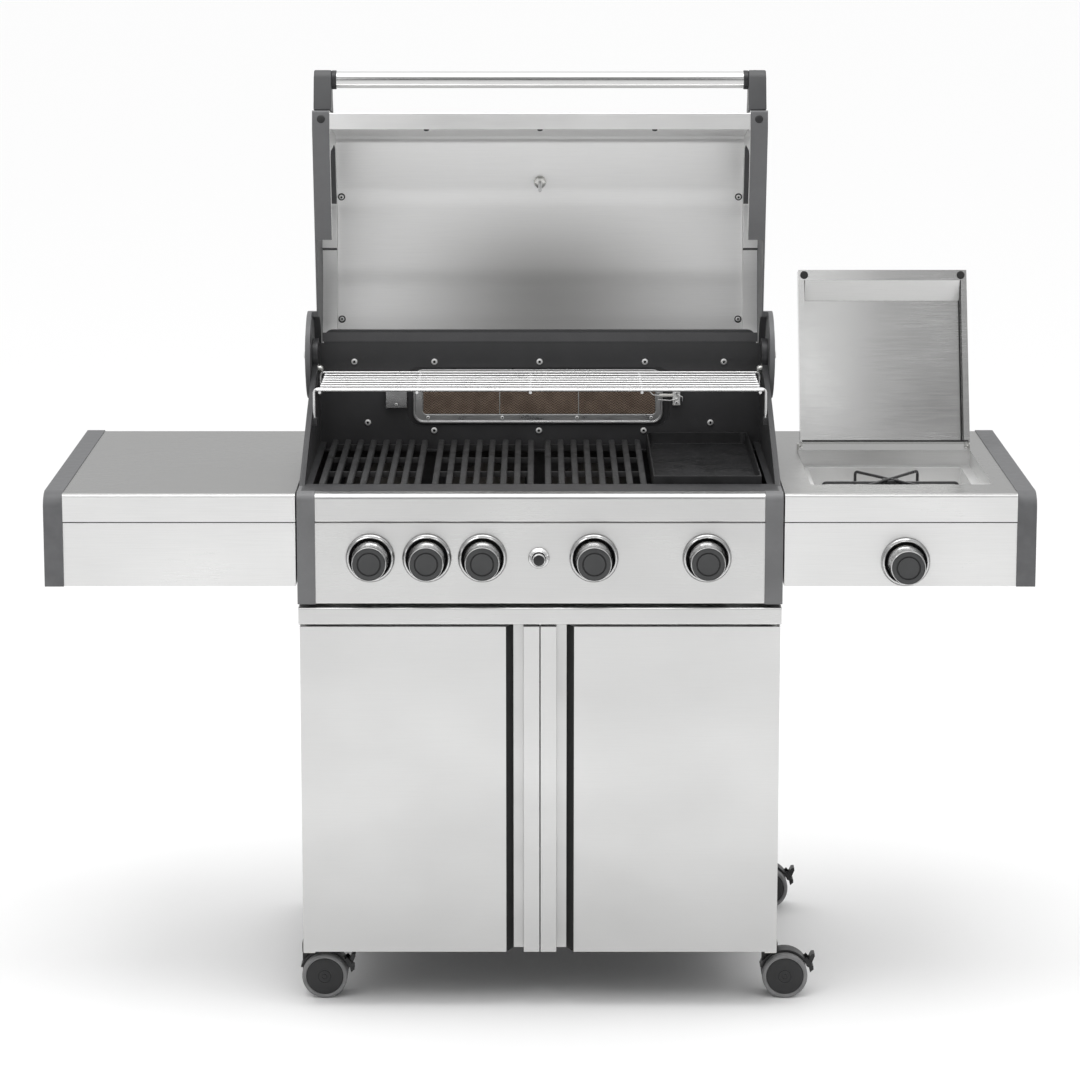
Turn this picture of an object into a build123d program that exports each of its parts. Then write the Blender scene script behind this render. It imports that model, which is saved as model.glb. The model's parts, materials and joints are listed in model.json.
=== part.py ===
from build123d import *
import os
from math import cos, radians, sin

os.makedirs("parts", exist_ok=True)

# ---------------------------------------------------------------- driving dimensions (mm)
# Depths are measured backwards from the front faces of the doors and posts.
FRONT_Y = -285.6            # row y of those front faces
SHEET = 1.5                 # folded stainless sheet

BODY_HALF = 390.0           # outer half-width of the grill head
POST_INNER = 361.0          # inner face of the front posts
POST_DEPTH = 26.0
HEAD_BOTTOM = 678.0
WORKTOP = 859.0
HEAD_BACK = 566.0

CABINET_HALF = 388.0
CABINET_BOTTOM = 95.0
CABINET_TOP = 672.0
CABINET_BACK = 563.0
RAIL_BOTTOM = 644.0
RAIL_TOP = 672.0

DOOR_FRONT = 27.0           # depth of a door pan
DOOR_OUTER = 387.0
DOOR_INNER = 1.0
DOOR_BOTTOM = 95.5
DOOR_TOP = 641.0
DOOR_PIVOT_X = 379.0
DOOR_PIVOT_DEPTH = 14.0
DOOR_PIN_R = 4.0

CASTER_X = 380.0
CASTER_DEPTHS = (70.0, 537.0)
CASTER_TRAIL = 24.5
WHEEL_R = 37.5
STEM_R = 5.0
AXLE_R = 4.0

TABLE_INNER = 392.5
TABLE_OUTER = 765.0
CAP_OUTER = 796.0
APRON_BOTTOM = 813.0
FASCIA_TOP = 811.5
FASCIA_BOTTOM = 707.6

FIREBOX_WALL = 381.0        # inner face of the firebox sides
FIREBOX_FRONT = 82.0
FIREBOX_REAR = 490.0
FIREBOX_FLOOR = 719.0
REAR_WALL_TOP = 1050.0

KNOB_Z = 754.0
KNOB_XS = (-272.5, -181.5, -92.3, 86.6, 268.1)
SIDE_KNOB = (586.8, 748.0)
IGNITER_X = -1.8
STEM_SHAFT_R = 4.0
BURNER_XS = (-272.5, -92.3, 86.6, 268.1)

PIVOT_DEPTH = 450.0         # lid hinge
PIVOT_Z = 1013.0
HOOD_OPEN = 100.0           # lid angle in the modelled pose, degrees from shut
HOOD_PIN_R = 8.0
SKIN_HALF = 353.7
CASTING_INNER = 354.0
CASTING_OUTER = 383.0
HANDLE_CENTRE = (462.0, -114.0)
HANDLE_R = 14.0

BURNER_OPENING_X = (439.0, 734.0)
BURNER_OPENING_DEPTH = (78.0, 380.0)
SIDE_LID_PIVOT = (382.0, 865.0)
SIDE_LID_OPEN = 109.0

RUNNING_GAP = 0.05          # radial clearance of a pin in its hole


# ---------------------------------------------------------------- planes and helpers
def side_plane(x):
    """Section across the grill: local x is depth, local y is height, extruding towards +X."""
    return Plane(origin=(x, FRONT_Y, 0), x_dir=(0, 1, 0), z_dir=(1, 0, 0))


def front_plane(depth):
    """Upright plane facing forward: local x is x, local y is height, extruding to the front."""
    return Plane(origin=(0, FRONT_Y + depth, 0), x_dir=(1, 0, 0), z_dir=(0, -1, 0))


def top_plane(z):
    """Level plane: local x is x, local y is depth, extruding upwards."""
    return Plane(origin=(0, FRONT_Y, z), x_dir=(1, 0, 0), z_dir=(0, 0, 1))


def lid_plane(x, pivot, open_angle):
    """Section of a lid about its pivot: local x forward, local y up with the lid shut."""
    angle = radians(open_angle)
    return Plane(
        origin=(x, FRONT_Y + pivot[0], pivot[1]),
        x_dir=(0, -cos(angle), sin(angle)),
        z_dir=(-1, 0, 0),
    )


def hood_plane(x):
    """Section plane of the main lid, extruding towards -X."""
    return lid_plane(x, (PIVOT_DEPTH, PIVOT_Z), HOOD_OPEN)


def side_lid_plane(x):
    """Section plane of the side-burner lid, extruding towards -X."""
    return lid_plane(x, SIDE_LID_PIVOT, SIDE_LID_OPEN)


def block(xs, depths, zs, mode=Mode.ADD):
    """A box between two x values, two depths and two heights."""
    centre = (sum(xs) / 2, FRONT_Y + sum(depths) / 2, sum(zs) / 2)
    with Locations(centre):
        Box(abs(xs[1] - xs[0]), abs(depths[1] - depths[0]), abs(zs[1] - zs[0]), mode=mode)


def rod_x(xs, depth, z, radius, mode=Mode.ADD):
    """A round bar along X."""
    with Locations(((xs[0] + xs[1]) / 2, FRONT_Y + depth, z)):
        Cylinder(radius, abs(xs[1] - xs[0]), rotation=(0, 90, 0), mode=mode)


def rod_y(x, depths, z, radius, mode=Mode.ADD):
    """A round bar from front to back."""
    with Locations((x, FRONT_Y + (depths[0] + depths[1]) / 2, z)):
        Cylinder(radius, abs(depths[1] - depths[0]), rotation=(90, 0, 0), mode=mode)


def rod_z(x, depth, zs, radius, mode=Mode.ADD):
    """An upright round bar."""
    with Locations((x, FRONT_Y + depth, (zs[0] + zs[1]) / 2)):
        Cylinder(radius, abs(zs[1] - zs[0]), mode=mode)


def save(piece, name):
    """Label a finished piece and write its STEP file."""
    piece.label = name
    export_step(piece, f"parts/{name}.step")


# ---------------------------------------------------------------- cabinet
# One sheet folded round the two sides and the back, with rows of vents near the top of the back.
with BuildPart() as cabinet_shell:
    block((-CABINET_HALF, CABINET_HALF), (30, HEAD_BACK - 1), (CABINET_BOTTOM, CABINET_TOP))
    block((-386, 386), (30, CABINET_BACK), (CABINET_BOTTOM, CABINET_TOP), Mode.SUBTRACT)
    with BuildSketch(front_plane(HEAD_BACK)):
        with Locations((0, 560)):
            with GridLocations(90, 24, 7, 5):
                SlotOverall(60, 8)
    extrude(amount=6, mode=Mode.SUBTRACT)
save(cabinet_shell.part, "cabinet_shell")

# The floor carries the caster plates, their stems and nuts, and the lower door-hinge tabs.
FOOT_THICK = 3.0
with BuildPart() as cabinet_floor:
    block((-386, 386), (30, CABINET_BACK), (CABINET_BOTTOM, CABINET_BOTTOM + 2))
    block((-386, 386), (30, 30 + SHEET), (CABINET_BOTTOM, CABINET_BOTTOM + 20))
    for side in (-1, 1):
        for depth in CASTER_DEPTHS:
            plate_depths = (depth - 33, min(depth + 33, CABINET_BACK))
            block((side * 340, side * 388), plate_depths, (CABINET_BOTTOM - FOOT_THICK, CABINET_BOTTOM))
            rod_z(side * CASTER_X, depth, (76, CABINET_BOTTOM), STEM_R)
        block((side * 368, side * 387), (4, 40), (CABINET_BOTTOM - FOOT_THICK, CABINET_BOTTOM - 0.2))
save(cabinet_floor.part, "cabinet_floor")

with BuildPart() as cabinet_rail:
    with BuildSketch(side_plane(-389)):
        with BuildLine():
            rail_line = FilletPolyline(
                (30, RAIL_BOTTOM), (1, RAIL_BOTTOM), (1, RAIL_TOP), (30, RAIL_TOP), radius=2.5
            )
            offset(rail_line, amount=SHEET, side=Side.RIGHT)
        make_face()
    extrude(amount=778)
save(cabinet_rail.part, "cabinet_rail")

# ---------------------------------------------------------------- doors
PULL_OUTER = 26.5           # raised pull strip next to the middle of the cabinet
RECESS_OUTER = 43.0         # recessed finger channel
PANEL_INNER = 55.0          # inner edge of the flat panel
RECESS_DEPTH = 24.0
for side, door_name in ((-1, "door_left"), (1, "door_right")):
    with BuildPart() as door:
        with BuildSketch(top_plane(DOOR_BOTTOM)):
            with BuildLine():
                Polyline(
                    (side * DOOR_OUTER, DOOR_FRONT),
                    (side * DOOR_OUTER, 0),
                    (side * PANEL_INNER, 0),
                    (side * RECESS_OUTER, RECESS_DEPTH),
                    (side * (PULL_OUTER + 0.5), RECESS_DEPTH),
                    (side * PULL_OUTER, 0),
                    (side * DOOR_INNER, 0),
                    (side * DOOR_INNER, DOOR_FRONT),
                    close=True,
                )
            make_face()
        extrude(amount=DOOR_TOP - DOOR_BOTTOM)
        back_face = door.faces().filter_by(Axis.Y).sort_by(Axis.Y)[-1]
        offset(amount=-SHEET, openings=back_face)
        # Hinge blocks in the outer corners, bored for the pins.
        block_xs = (side * 369, side * (DOOR_OUTER - SHEET))
        for block_zs in ((DOOR_BOTTOM, DOOR_BOTTOM + 18), (DOOR_TOP - 18, DOOR_TOP)):
            block(block_xs, (SHEET, 23), block_zs)
            pin_hole_r = DOOR_PIN_R + RUNNING_GAP
            rod_z(side * DOOR_PIVOT_X, DOOR_PIVOT_DEPTH, block_zs, pin_hole_r, Mode.SUBTRACT)
    save(door.part, door_name)

# ---------------------------------------------------------------- grill head: side panels and posts
BASE_RAIL_INNER = 360.0
FEED_PIPE_R = 5.0
MANIFOLD_DEPTH = 48.0
MANIFOLD_Z = 735.0
with BuildPart() as body_sides:
    for side in (-1, 1):
        start = min(side * POST_INNER, side * BODY_HALF)
        with BuildSketch(side_plane(start)):
            with BuildLine():
                Line((0, HEAD_BOTTOM), (0, 846))
                TangentArc((0, 846), (22, WORKTOP - 1), tangent=(0, 1))
                Line((22, WORKTOP - 1), (POST_DEPTH, WORKTOP))
                Polyline((POST_DEPTH, WORKTOP), (POST_DEPTH, HEAD_BOTTOM), (0, HEAD_BOTTOM))
            make_face()
        extrude(amount=BODY_HALF - POST_INNER)
        block((side * 384, side * BODY_HALF), (POST_DEPTH, HEAD_BACK), (HEAD_BOTTOM, WORKTOP))
        block((side * BASE_RAIL_INNER, side * CABINET_HALF), (30, CABINET_BACK), (CABINET_TOP, HEAD_BOTTOM))
        block((side * BASE_RAIL_INNER, side * 385), (30, CABINET_BACK), (HEAD_BOTTOM, HEAD_BOTTOM + 3))
    rod_x((380, 395), MANIFOLD_DEPTH, MANIFOLD_Z, FEED_PIPE_R + 0.5, Mode.SUBTRACT)
save(body_sides.part, "body_sides")

with BuildPart() as front_shelf:
    with BuildSketch(side_plane(-POST_INNER)):
        with BuildLine():
            shelf_line = FilletPolyline(
                (POST_DEPTH, 858.4), (1, 858.4), (1, 813), (16, 813), radius=[8.5, 2]
            )
            offset(shelf_line, amount=SHEET, side=Side.LEFT)
        make_face()
    extrude(amount=2 * POST_INNER)
save(front_shelf.part, "front_shelf")

STEM_HOLE_R = 7.0
BUTTON_HOLE_R = 11.4
with BuildPart() as control_panel:
    with BuildSketch(side_plane(-POST_INNER)):
        with BuildLine():
            panel_line = FilletPolyline(
                (28, HEAD_BOTTOM), (2, HEAD_BOTTOM), (2, 811.7), (14, 811.7), radius=[3, 2]
            )
            offset(panel_line, amount=SHEET, side=Side.RIGHT)
        make_face()
    extrude(amount=2 * POST_INNER)
    for knob_x in KNOB_XS:
        rod_y(knob_x, (0, 6), KNOB_Z, STEM_HOLE_R, Mode.SUBTRACT)
    rod_y(IGNITER_X, (0, 6), KNOB_Z, BUTTON_HOLE_R, Mode.SUBTRACT)
save(control_panel.part, "control_panel")

# ---------------------------------------------------------------- firebox
CHEEK_OUTER = BODY_HALF
RACK_Z = 984.0
RACK_LEG_X = 377.3
RACK_LEGS = ((268.0, 926.0), (436.0, 950.0))      # depth and lower end of the warming rack's legs
REAR_WALL_THICK = 6.0
POCKET = (-214.0, 207.0, 891.0, 977.0)      # opening for the rear burner: x, x, z, z
BURNER_FRAME = (-3.5, 933.5)                # centre of the rear burner's frame: x, z
BURNER_RECESS = 4.0                         # depth of the shallow recess the frame sits in
with BuildPart() as firebox:
    rear_outer = FIREBOX_REAR + REAR_WALL_THICK
    inside_xs = (-FIREBOX_WALL, FIREBOX_WALL)
    inside_depths = (FIREBOX_FRONT, FIREBOX_REAR)
    block((-384, 384), (FIREBOX_FRONT - 3, rear_outer), (FIREBOX_FLOOR - 3, WORKTOP))
    block(inside_xs, inside_depths, (FIREBOX_FLOOR, WORKTOP), Mode.SUBTRACT)
    block((-260, 260), (180, 400), (FIREBOX_FLOOR - 3, FIREBOX_FLOOR), Mode.SUBTRACT)
    # Front rim flange, and ledges that carry the cooking grills.
    block((-384, 384), (POST_DEPTH, FIREBOX_FRONT), (WORKTOP - 3, WORKTOP))
    block(inside_xs, (FIREBOX_FRONT, FIREBOX_FRONT + 11), (837, 840))
    block(inside_xs, (FIREBOX_REAR - 11, FIREBOX_REAR), (837, 840))
    for side in (-1, 1):
        block((side * 370.5, side * FIREBOX_WALL), inside_depths, (850, 853))
        # Cheek: the sloping side wall above the worktop, with a boss that carries the lid pin.
        start = min(side * FIREBOX_WALL, side * CHEEK_OUTER)
        with BuildSketch(side_plane(start)):
            with BuildLine():
                Polyline(
                    (66, WORKTOP),
                    (277, 945),
                    (FIREBOX_REAR - 4, 1021),
                    (rear_outer, 1022),
                    (rear_outer, WORKTOP),
                    close=True,
                )
            make_face()
            with Locations((PIVOT_DEPTH, PIVOT_Z)):
                Circle(28)
        extrude(amount=CHEEK_OUTER - FIREBOX_WALL)
        for leg_depth, socket_z in RACK_LEGS:
            socket_xs = (side * 373, side * (FIREBOX_WALL + 1))
            block(socket_xs, (leg_depth - 5, leg_depth + 5), (socket_z - 3, socket_z + 9))
            rod_z(side * RACK_LEG_X, leg_depth, (socket_z - 0.5, socket_z + 9), 2.25, Mode.SUBTRACT)
        # Guide rails for the drip tray.
        block((side * 302, side * 304), (100, FIREBOX_REAR), (684, FIREBOX_FLOOR - 3))
        block((side * 290, side * 304), (100, FIREBOX_REAR), (682, 684))
    # Rear wall: a tall sheet with a folded upper ridge whose corners are rounded.
    with BuildSketch(front_plane(rear_outer)):
        with Locations((0, (WORKTOP + 1026) / 2)):
            Rectangle(2 * 384, 1026 - WORKTOP)
        with Locations((0, (1000 + REAR_WALL_TOP) / 2)):
            RectangleRounded(2 * 374, REAR_WALL_TOP - 1000, 16)
        with Locations(((POCKET[0] + POCKET[1]) / 2, (POCKET[2] + POCKET[3]) / 2)):
            RectangleRounded(POCKET[1] - POCKET[0], POCKET[3] - POCKET[2], 14, mode=Mode.SUBTRACT)
    extrude(amount=REAR_WALL_THICK)
    with BuildSketch(front_plane(FIREBOX_REAR + BURNER_RECESS)):
        with Locations(BURNER_FRAME):
            RectangleRounded(455, 103, 22)
    extrude(amount=BURNER_RECESS, mode=Mode.SUBTRACT)
    for burner_x in BURNER_XS:
        rod_y(burner_x, (FIREBOX_FRONT - 5, FIREBOX_FRONT + 5), KNOB_Z, 12, Mode.SUBTRACT)
save(firebox.part, "firebox")

# ---------------------------------------------------------------- cooking surfaces
GRILL_STARTS = (-369.0, -185.0, -1.0)
GRILL_WIDTH = 184.0
BAR_COUNT = 8
BAR_PITCH = 22.2
BAR_WIDTH = 10.5
GRILL_TOP = WORKTOP
GRILL_BOTTOM = 840.3
GRILL_FRONT = 84.0
GRILL_REAR = 479.0
GRILL_NAMES = ("cooking_grill_left", "cooking_grill_middle", "cooking_grill_right")
for grill_name, grill_x in zip(GRILL_NAMES, GRILL_STARTS):
    with BuildPart() as grill:
        middle = grill_x + GRILL_WIDTH / 2
        frame_half = (BAR_COUNT - 1) * BAR_PITCH / 2 + BAR_WIDTH / 2
        for bar in range(BAR_COUNT):
            bar_x = middle + (bar - (BAR_COUNT - 1) / 2) * BAR_PITCH
            with BuildSketch(front_plane(GRILL_REAR)):
                with BuildLine():
                    Polyline(
                        (bar_x - BAR_WIDTH / 2, GRILL_TOP - 2),
                        (bar_x - BAR_WIDTH / 2 + 1.5, GRILL_TOP),
                        (bar_x + BAR_WIDTH / 2 - 1.5, GRILL_TOP),
                        (bar_x + BAR_WIDTH / 2, GRILL_TOP - 2),
                        (bar_x + BAR_WIDTH / 2 - 2, GRILL_BOTTOM + 3),
                        (bar_x - BAR_WIDTH / 2 + 2, GRILL_BOTTOM + 3),
                        close=True,
                    )
                make_face()
            extrude(amount=GRILL_REAR - GRILL_FRONT)
        for rib_depth in (92, 212, 335, 474):
            rib_zs = (GRILL_BOTTOM, 851) if rib_depth in (92, 474) else (846, 854)
            rib_half = 4.0 if rib_depth in (92, 474) else 2.5
            rib_xs = (middle - frame_half + 2, middle + frame_half - 2)
            block(rib_xs, (rib_depth - rib_half, rib_depth + rib_half), rib_zs)
    save(grill.part, grill_name)

PLATE_XS = (184.5, 360.0)
with BuildPart() as hotplate:
    block(PLATE_XS, (GRILL_FRONT, GRILL_REAR), (GRILL_BOTTOM, 872))
    with BuildSketch(top_plane(853)):
        with Locations(((PLATE_XS[0] + PLATE_XS[1]) / 2, (GRILL_FRONT + GRILL_REAR) / 2)):
            RectangleRounded(PLATE_XS[1] - PLATE_XS[0] - 9, GRILL_REAR - GRILL_FRONT - 9, 10)
    extrude(amount=30, mode=Mode.SUBTRACT, taper=-6)
    block((PLATE_XS[0] + 10, PLATE_XS[1] - 10), (100, 463), (GRILL_BOTTOM, 845), Mode.SUBTRACT)
save(hotplate.part, "hotplate")

# ---------------------------------------------------------------- warming rack
RACK_RODS = ((253, 372.5), (292, 368), (315, 368), (338, 368), (361, 368), (384, 368), (410, 368))
RACK_WIRE_R = 2.2
with BuildPart() as warming_rack:
    for rod_depth, rod_half in RACK_RODS:
        rod_x((-rod_half, rod_half), rod_depth, RACK_Z, RACK_WIRE_R)
    for cross_x in (-367, -205, -16, 170, 367):
        rod_y(cross_x, (251, 442), RACK_Z - 3.4, 2.6)
    # Two bars turn down at their ends into the sockets on the firebox walls.
    for leg_depth, socket_z in RACK_LEGS:
        rod_x((-RACK_LEG_X, RACK_LEG_X), leg_depth, RACK_Z, RACK_WIRE_R)
        for side in (-1, 1):
            rod_z(side * RACK_LEG_X, leg_depth, (socket_z, RACK_Z), RACK_WIRE_R)
            with Locations((side * RACK_LEG_X, FRONT_Y + leg_depth, RACK_Z)):
                Sphere(RACK_WIRE_R)
save(warming_rack.part, "warming_rack")

# ---------------------------------------------------------------- burners, tamers and drip tray
TAMER_HALF = 66.0
with BuildPart() as flame_tamers:
    for burner_x in BURNER_XS:
        with BuildSketch(front_plane(FIREBOX_REAR)):
            with BuildLine():
                tamer_line = Polyline(
                    (burner_x - TAMER_HALF, 790), (burner_x, 824), (burner_x + TAMER_HALF, 790)
                )
                offset(tamer_line, amount=SHEET, side=Side.RIGHT)
            make_face()
        extrude(amount=FIREBOX_REAR - FIREBOX_FRONT)
save(flame_tamers.part, "flame_tamers")

SIDE_BURNER = (586.5, 229.0)
PAN_FLOOR = 795.0
with BuildPart() as gas_burners:
    for burner_x in BURNER_XS:
        rod_y(burner_x, (98, 468), KNOB_Z, 20)
        rod_y(burner_x, (66, 98), KNOB_Z, 11)
        rod_y(burner_x, (468, FIREBOX_REAR), KNOB_Z, 7)
        rod_y(burner_x, (100, 466), KNOB_Z, 18.5, Mode.SUBTRACT)
        rod_y(burner_x, (66, 101), KNOB_Z, 9.5, Mode.SUBTRACT)
    rod_z(SIDE_BURNER[0], SIDE_BURNER[1], (PAN_FLOOR, 814), 30)
    rod_z(SIDE_BURNER[0], SIDE_BURNER[1], (814, 816), 25)
    rod_z(SIDE_BURNER[0], SIDE_BURNER[1], (816, 823), 34)
save(gas_burners.part, "gas_burners")

TRAY_HALF = 301.0
with BuildPart() as drip_tray:
    block((-TRAY_HALF, TRAY_HALF), (104, 486), (684.4, 706))
    inside_half = TRAY_HALF - SHEET
    block((-inside_half, inside_half), (104 + SHEET, 486 - SHEET), (684.4 + SHEET, 706), Mode.SUBTRACT)
    block((-60, 60), (486, 504), (702, 706))
save(drip_tray.part, "drip_tray")

# ---------------------------------------------------------------- rear burner
FRAME_BACK = FIREBOX_REAR + BURNER_RECESS
with BuildPart() as rear_burner_frame:
    with BuildSketch(front_plane(FRAME_BACK)):
        with Locations(BURNER_FRAME):
            RectangleRounded(433, 95, 18)
        with Locations((-1.5, 934.5)):
            RectangleRounded(405, 67, 8, mode=Mode.SUBTRACT)
    extrude(amount=3)
    with BuildSketch(front_plane(FRAME_BACK - 3)):
        with Locations(BURNER_FRAME):
            RectangleRounded(433, 95, 18)
            RectangleRounded(426, 88, 15, mode=Mode.SUBTRACT)
    extrude(amount=5)
save(rear_burner_frame.part, "rear_burner_frame")

TILE_EDGES = (-203.7, -70.0, 67.0, 200.7)
with BuildPart() as rear_burner_tiles:
    for left, right in zip(TILE_EDGES, TILE_EDGES[1:]):
        block((left + 0.8, right - 0.8), (FRAME_BACK + 0.2, FIREBOX_REAR + REAR_WALL_THICK), (901.5, 967.5))
save(rear_burner_tiles.part, "rear_burner_tiles")

# ---------------------------------------------------------------- gas rail, valves and stems
INLET_X = -335.0
INLET_Z = 697.0
TAIL_LENGTH = 30.0
VALVE_ZS = (741.0, 768.0)
with BuildPart() as gas_rail:
    rod_x((-384, 384), MANIFOLD_DEPTH, MANIFOLD_Z, 9)
    rod_x((380, SIDE_KNOB[0]), MANIFOLD_DEPTH, MANIFOLD_Z, FEED_PIPE_R)
    for valve_x, valve_z in [(x, KNOB_Z) for x in KNOB_XS] + [SIDE_KNOB]:
        block((valve_x - 13, valve_x + 13), (28, 62), (valve_z - 14, valve_z + 14))
        rod_y(valve_x, (62, 72), valve_z, 5)
        rod_y(valve_x, (24, 59), valve_z, STEM_SHAFT_R + RUNNING_GAP, Mode.SUBTRACT)
    rod_y(SIDE_BURNER[0], (70, SIDE_BURNER[1]), SIDE_KNOB[1], FEED_PIPE_R)
    rod_z(SIDE_BURNER[0], SIDE_BURNER[1], (SIDE_KNOB[1] - FEED_PIPE_R, PAN_FLOOR - SHEET), FEED_PIPE_R)
    # Gas inlet: a hexagon nut, an elbow and a plain hose tail pointing backwards under the firebox.
    with BuildSketch(Plane(origin=(INLET_X, FRONT_Y + MANIFOLD_DEPTH, 706))):
        RegularPolygon(10, 6)
    extrude(amount=24)
    elbow_depths = (MANIFOLD_DEPTH - 9, MANIFOLD_DEPTH + 9)
    block((INLET_X - 9, INLET_X + 9), elbow_depths, (INLET_Z - 9, 706))
    rod_y(INLET_X, (elbow_depths[1], elbow_depths[1] + TAIL_LENGTH), INLET_Z, 4.8)
    rod_y(INLET_X, (MANIFOLD_DEPTH, elbow_depths[1] + TAIL_LENGTH), INLET_Z, 3, Mode.SUBTRACT)
    rod_z(INLET_X, MANIFOLD_DEPTH, (INLET_Z, MANIFOLD_Z), 3, Mode.SUBTRACT)
save(gas_rail.part, "gas_rail")

KNOB_FACE = -48.0           # depth of a knob's front face
STEM_TIP = -30.0
knob_places = [(x, KNOB_Z, f"{i + 1}") for i, x in enumerate(KNOB_XS)]
knob_places.append((SIDE_KNOB[0], SIDE_KNOB[1], "side"))

for knob_x, knob_z, suffix in knob_places:
    # Valve stem: a shaft that turns in its valve, with a flat where the knob slides on it.
    with BuildPart() as valve_stem:
        rod_y(knob_x, (STEM_TIP, 58.5), knob_z, STEM_SHAFT_R)
        block((knob_x - 6, knob_x + 6), (STEM_TIP, -12), (knob_z + 2.5, knob_z + 6), Mode.SUBTRACT)
    save(valve_stem.part, f"valve_stem_{suffix}")

    with BuildPart() as knob:
        with BuildSketch(Plane(origin=(knob_x, FRONT_Y, knob_z), x_dir=(1, 0, 0), z_dir=(0, 0, 1))):
            with BuildLine():
                Polyline((0, KNOB_FACE), (25.5, KNOB_FACE), (27, KNOB_FACE + 1.5), (27.5, -30))
                Polyline((27.5, -30), (29.5, -12), (29.5, -8), (0, -8), (0, KNOB_FACE))
            make_face()
        revolve(axis=Axis((knob_x, FRONT_Y, knob_z), (0, 1, 0)))
        # Ring groove in the face, hollow back, and the socket on the stem.
        with BuildSketch(front_plane(KNOB_FACE)):
            with Locations((knob_x, knob_z)):
                Circle(18.6)
                Circle(17.6, mode=Mode.SUBTRACT)
        extrude(amount=-0.8, mode=Mode.SUBTRACT)
        rod_y(knob_x, (-38, -8), knob_z, 25, Mode.SUBTRACT)
        rod_y(knob_x, (-40, -13), knob_z, 8)
        socket_r = STEM_SHAFT_R + RUNNING_GAP
        rod_y(knob_x, (STEM_TIP - 5, -8), knob_z, socket_r, Mode.SUBTRACT)
        block((knob_x - 3.5, knob_x + 3.5), (STEM_TIP - 5, -17), (knob_z + 2.7, knob_z + 5))
    save(knob.part, f"knob_{suffix}")

BEZEL_R = 39.5
BEZEL_BASE = 2.0
with BuildPart() as knob_bezels:
    for knob_x, knob_z, suffix in knob_places:
        with BuildSketch(Plane(origin=(knob_x, FRONT_Y, knob_z), x_dir=(1, 0, 0), z_dir=(0, 0, 1))):
            with BuildLine():
                Line((BEZEL_R, BEZEL_BASE), (BEZEL_R, -3))
                TangentArc((BEZEL_R, -3), (36, -7.5), tangent=(0, -1))
                Polyline((36, -7.5), (32, -4), (30.5, BEZEL_BASE), (BEZEL_R, BEZEL_BASE))
            make_face()
        revolve(axis=Axis((knob_x, FRONT_Y, knob_z), (0, 1, 0)))
    with BuildSketch(front_plane(2)):
        with Locations((IGNITER_X, KNOB_Z)):
            Circle(17.5)
            Circle(11.4, mode=Mode.SUBTRACT)
    extrude(amount=5)
save(knob_bezels.part, "knob_bezels")

with BuildPart() as igniter_button:
    rod_y(IGNITER_X, (-19, -4), KNOB_Z, 10.5)
    rod_y(IGNITER_X, (-4, 30), KNOB_Z, 6)
    chamfer(igniter_button.faces().sort_by(Axis.Y)[0].edges(), 1.2)
save(igniter_button.part, "igniter_button")

# ---------------------------------------------------------------- side tables
with BuildPart() as table_tops:
    for side in (-1, 1):
        table_xs = (side * TABLE_INNER, side * TABLE_OUTER)
        inside_xs = (side * (TABLE_INNER + SHEET), side * (TABLE_OUTER - SHEET))
        with BuildPart() as table_top:
            block(table_xs, (1, HEAD_BACK - 1), (APRON_BOTTOM, WORKTOP))
            top_edges = table_top.faces().sort_by(Axis.Z)[-1].edges()
            fillet(top_edges.filter_by(Axis.X), 6)
            inside_depths = (1 + SHEET, HEAD_BACK - 1 - SHEET)
            block(inside_xs, inside_depths, (APRON_BOTTOM, WORKTOP - SHEET), Mode.SUBTRACT)
        add(table_top.part)
    block(BURNER_OPENING_X, BURNER_OPENING_DEPTH, (WORKTOP - 3, WORKTOP), Mode.SUBTRACT)
save(table_tops.part, "table_tops")

with BuildPart() as table_fascias:
    for side in (-1, 1):
        outer_xs = (side * TABLE_INNER, side * TABLE_OUTER)
        inner_xs = (side * (TABLE_INNER + SHEET), side * (TABLE_OUTER - SHEET))
        block(outer_xs, (2, HEAD_BACK - 2), (FASCIA_BOTTOM, FASCIA_TOP))
        block(inner_xs, (2 + SHEET, HEAD_BACK - 2 - SHEET), (FASCIA_BOTTOM, FASCIA_TOP), Mode.SUBTRACT)
    rod_y(SIDE_KNOB[0], (0, 6), SIDE_KNOB[1], STEM_HOLE_R, Mode.SUBTRACT)
    rod_x((390, 397), MANIFOLD_DEPTH, MANIFOLD_Z, FEED_PIPE_R + 0.5, Mode.SUBTRACT)
save(table_fascias.part, "table_fascias")

CAP_BOTTOM = 707.0
CAP_TOP = 860.5
CAP_WALL = 3.0
with BuildPart() as end_caps:
    for side in (-1, 1):
        start = min(side * TABLE_OUTER, side * CAP_OUTER)
        with BuildSketch(side_plane(start)) as cap_outline:
            with Locations(((HEAD_BACK + 1) / 2, (CAP_BOTTOM + CAP_TOP) / 2)):
                Rectangle(HEAD_BACK + 1, CAP_TOP - CAP_BOTTOM)
            upper_corners = cap_outline.vertices().group_by(Axis.Y)[-1].sort_by(Axis.X)
            fillet(upper_corners[0], 26)
            fillet(cap_outline.vertices().group_by(Axis.Y)[-1].sort_by(Axis.X)[-1], 6)
        extrude(amount=CAP_OUTER - TABLE_OUTER)
        cavity_xs = (side * TABLE_OUTER, side * (CAP_OUTER - CAP_WALL))
        cavity_depths = (28, HEAD_BACK + 1 - 8)
        block(cavity_xs, cavity_depths, (CAP_BOTTOM + CAP_WALL, CAP_TOP - CAP_WALL), Mode.SUBTRACT)
        cavity_depths = (CAP_WALL, HEAD_BACK + 1 - CAP_WALL)
        block(cavity_xs, cavity_depths, (CAP_BOTTOM + CAP_WALL, CAP_TOP - 28), Mode.SUBTRACT)
save(end_caps.part, "end_caps")

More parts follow.
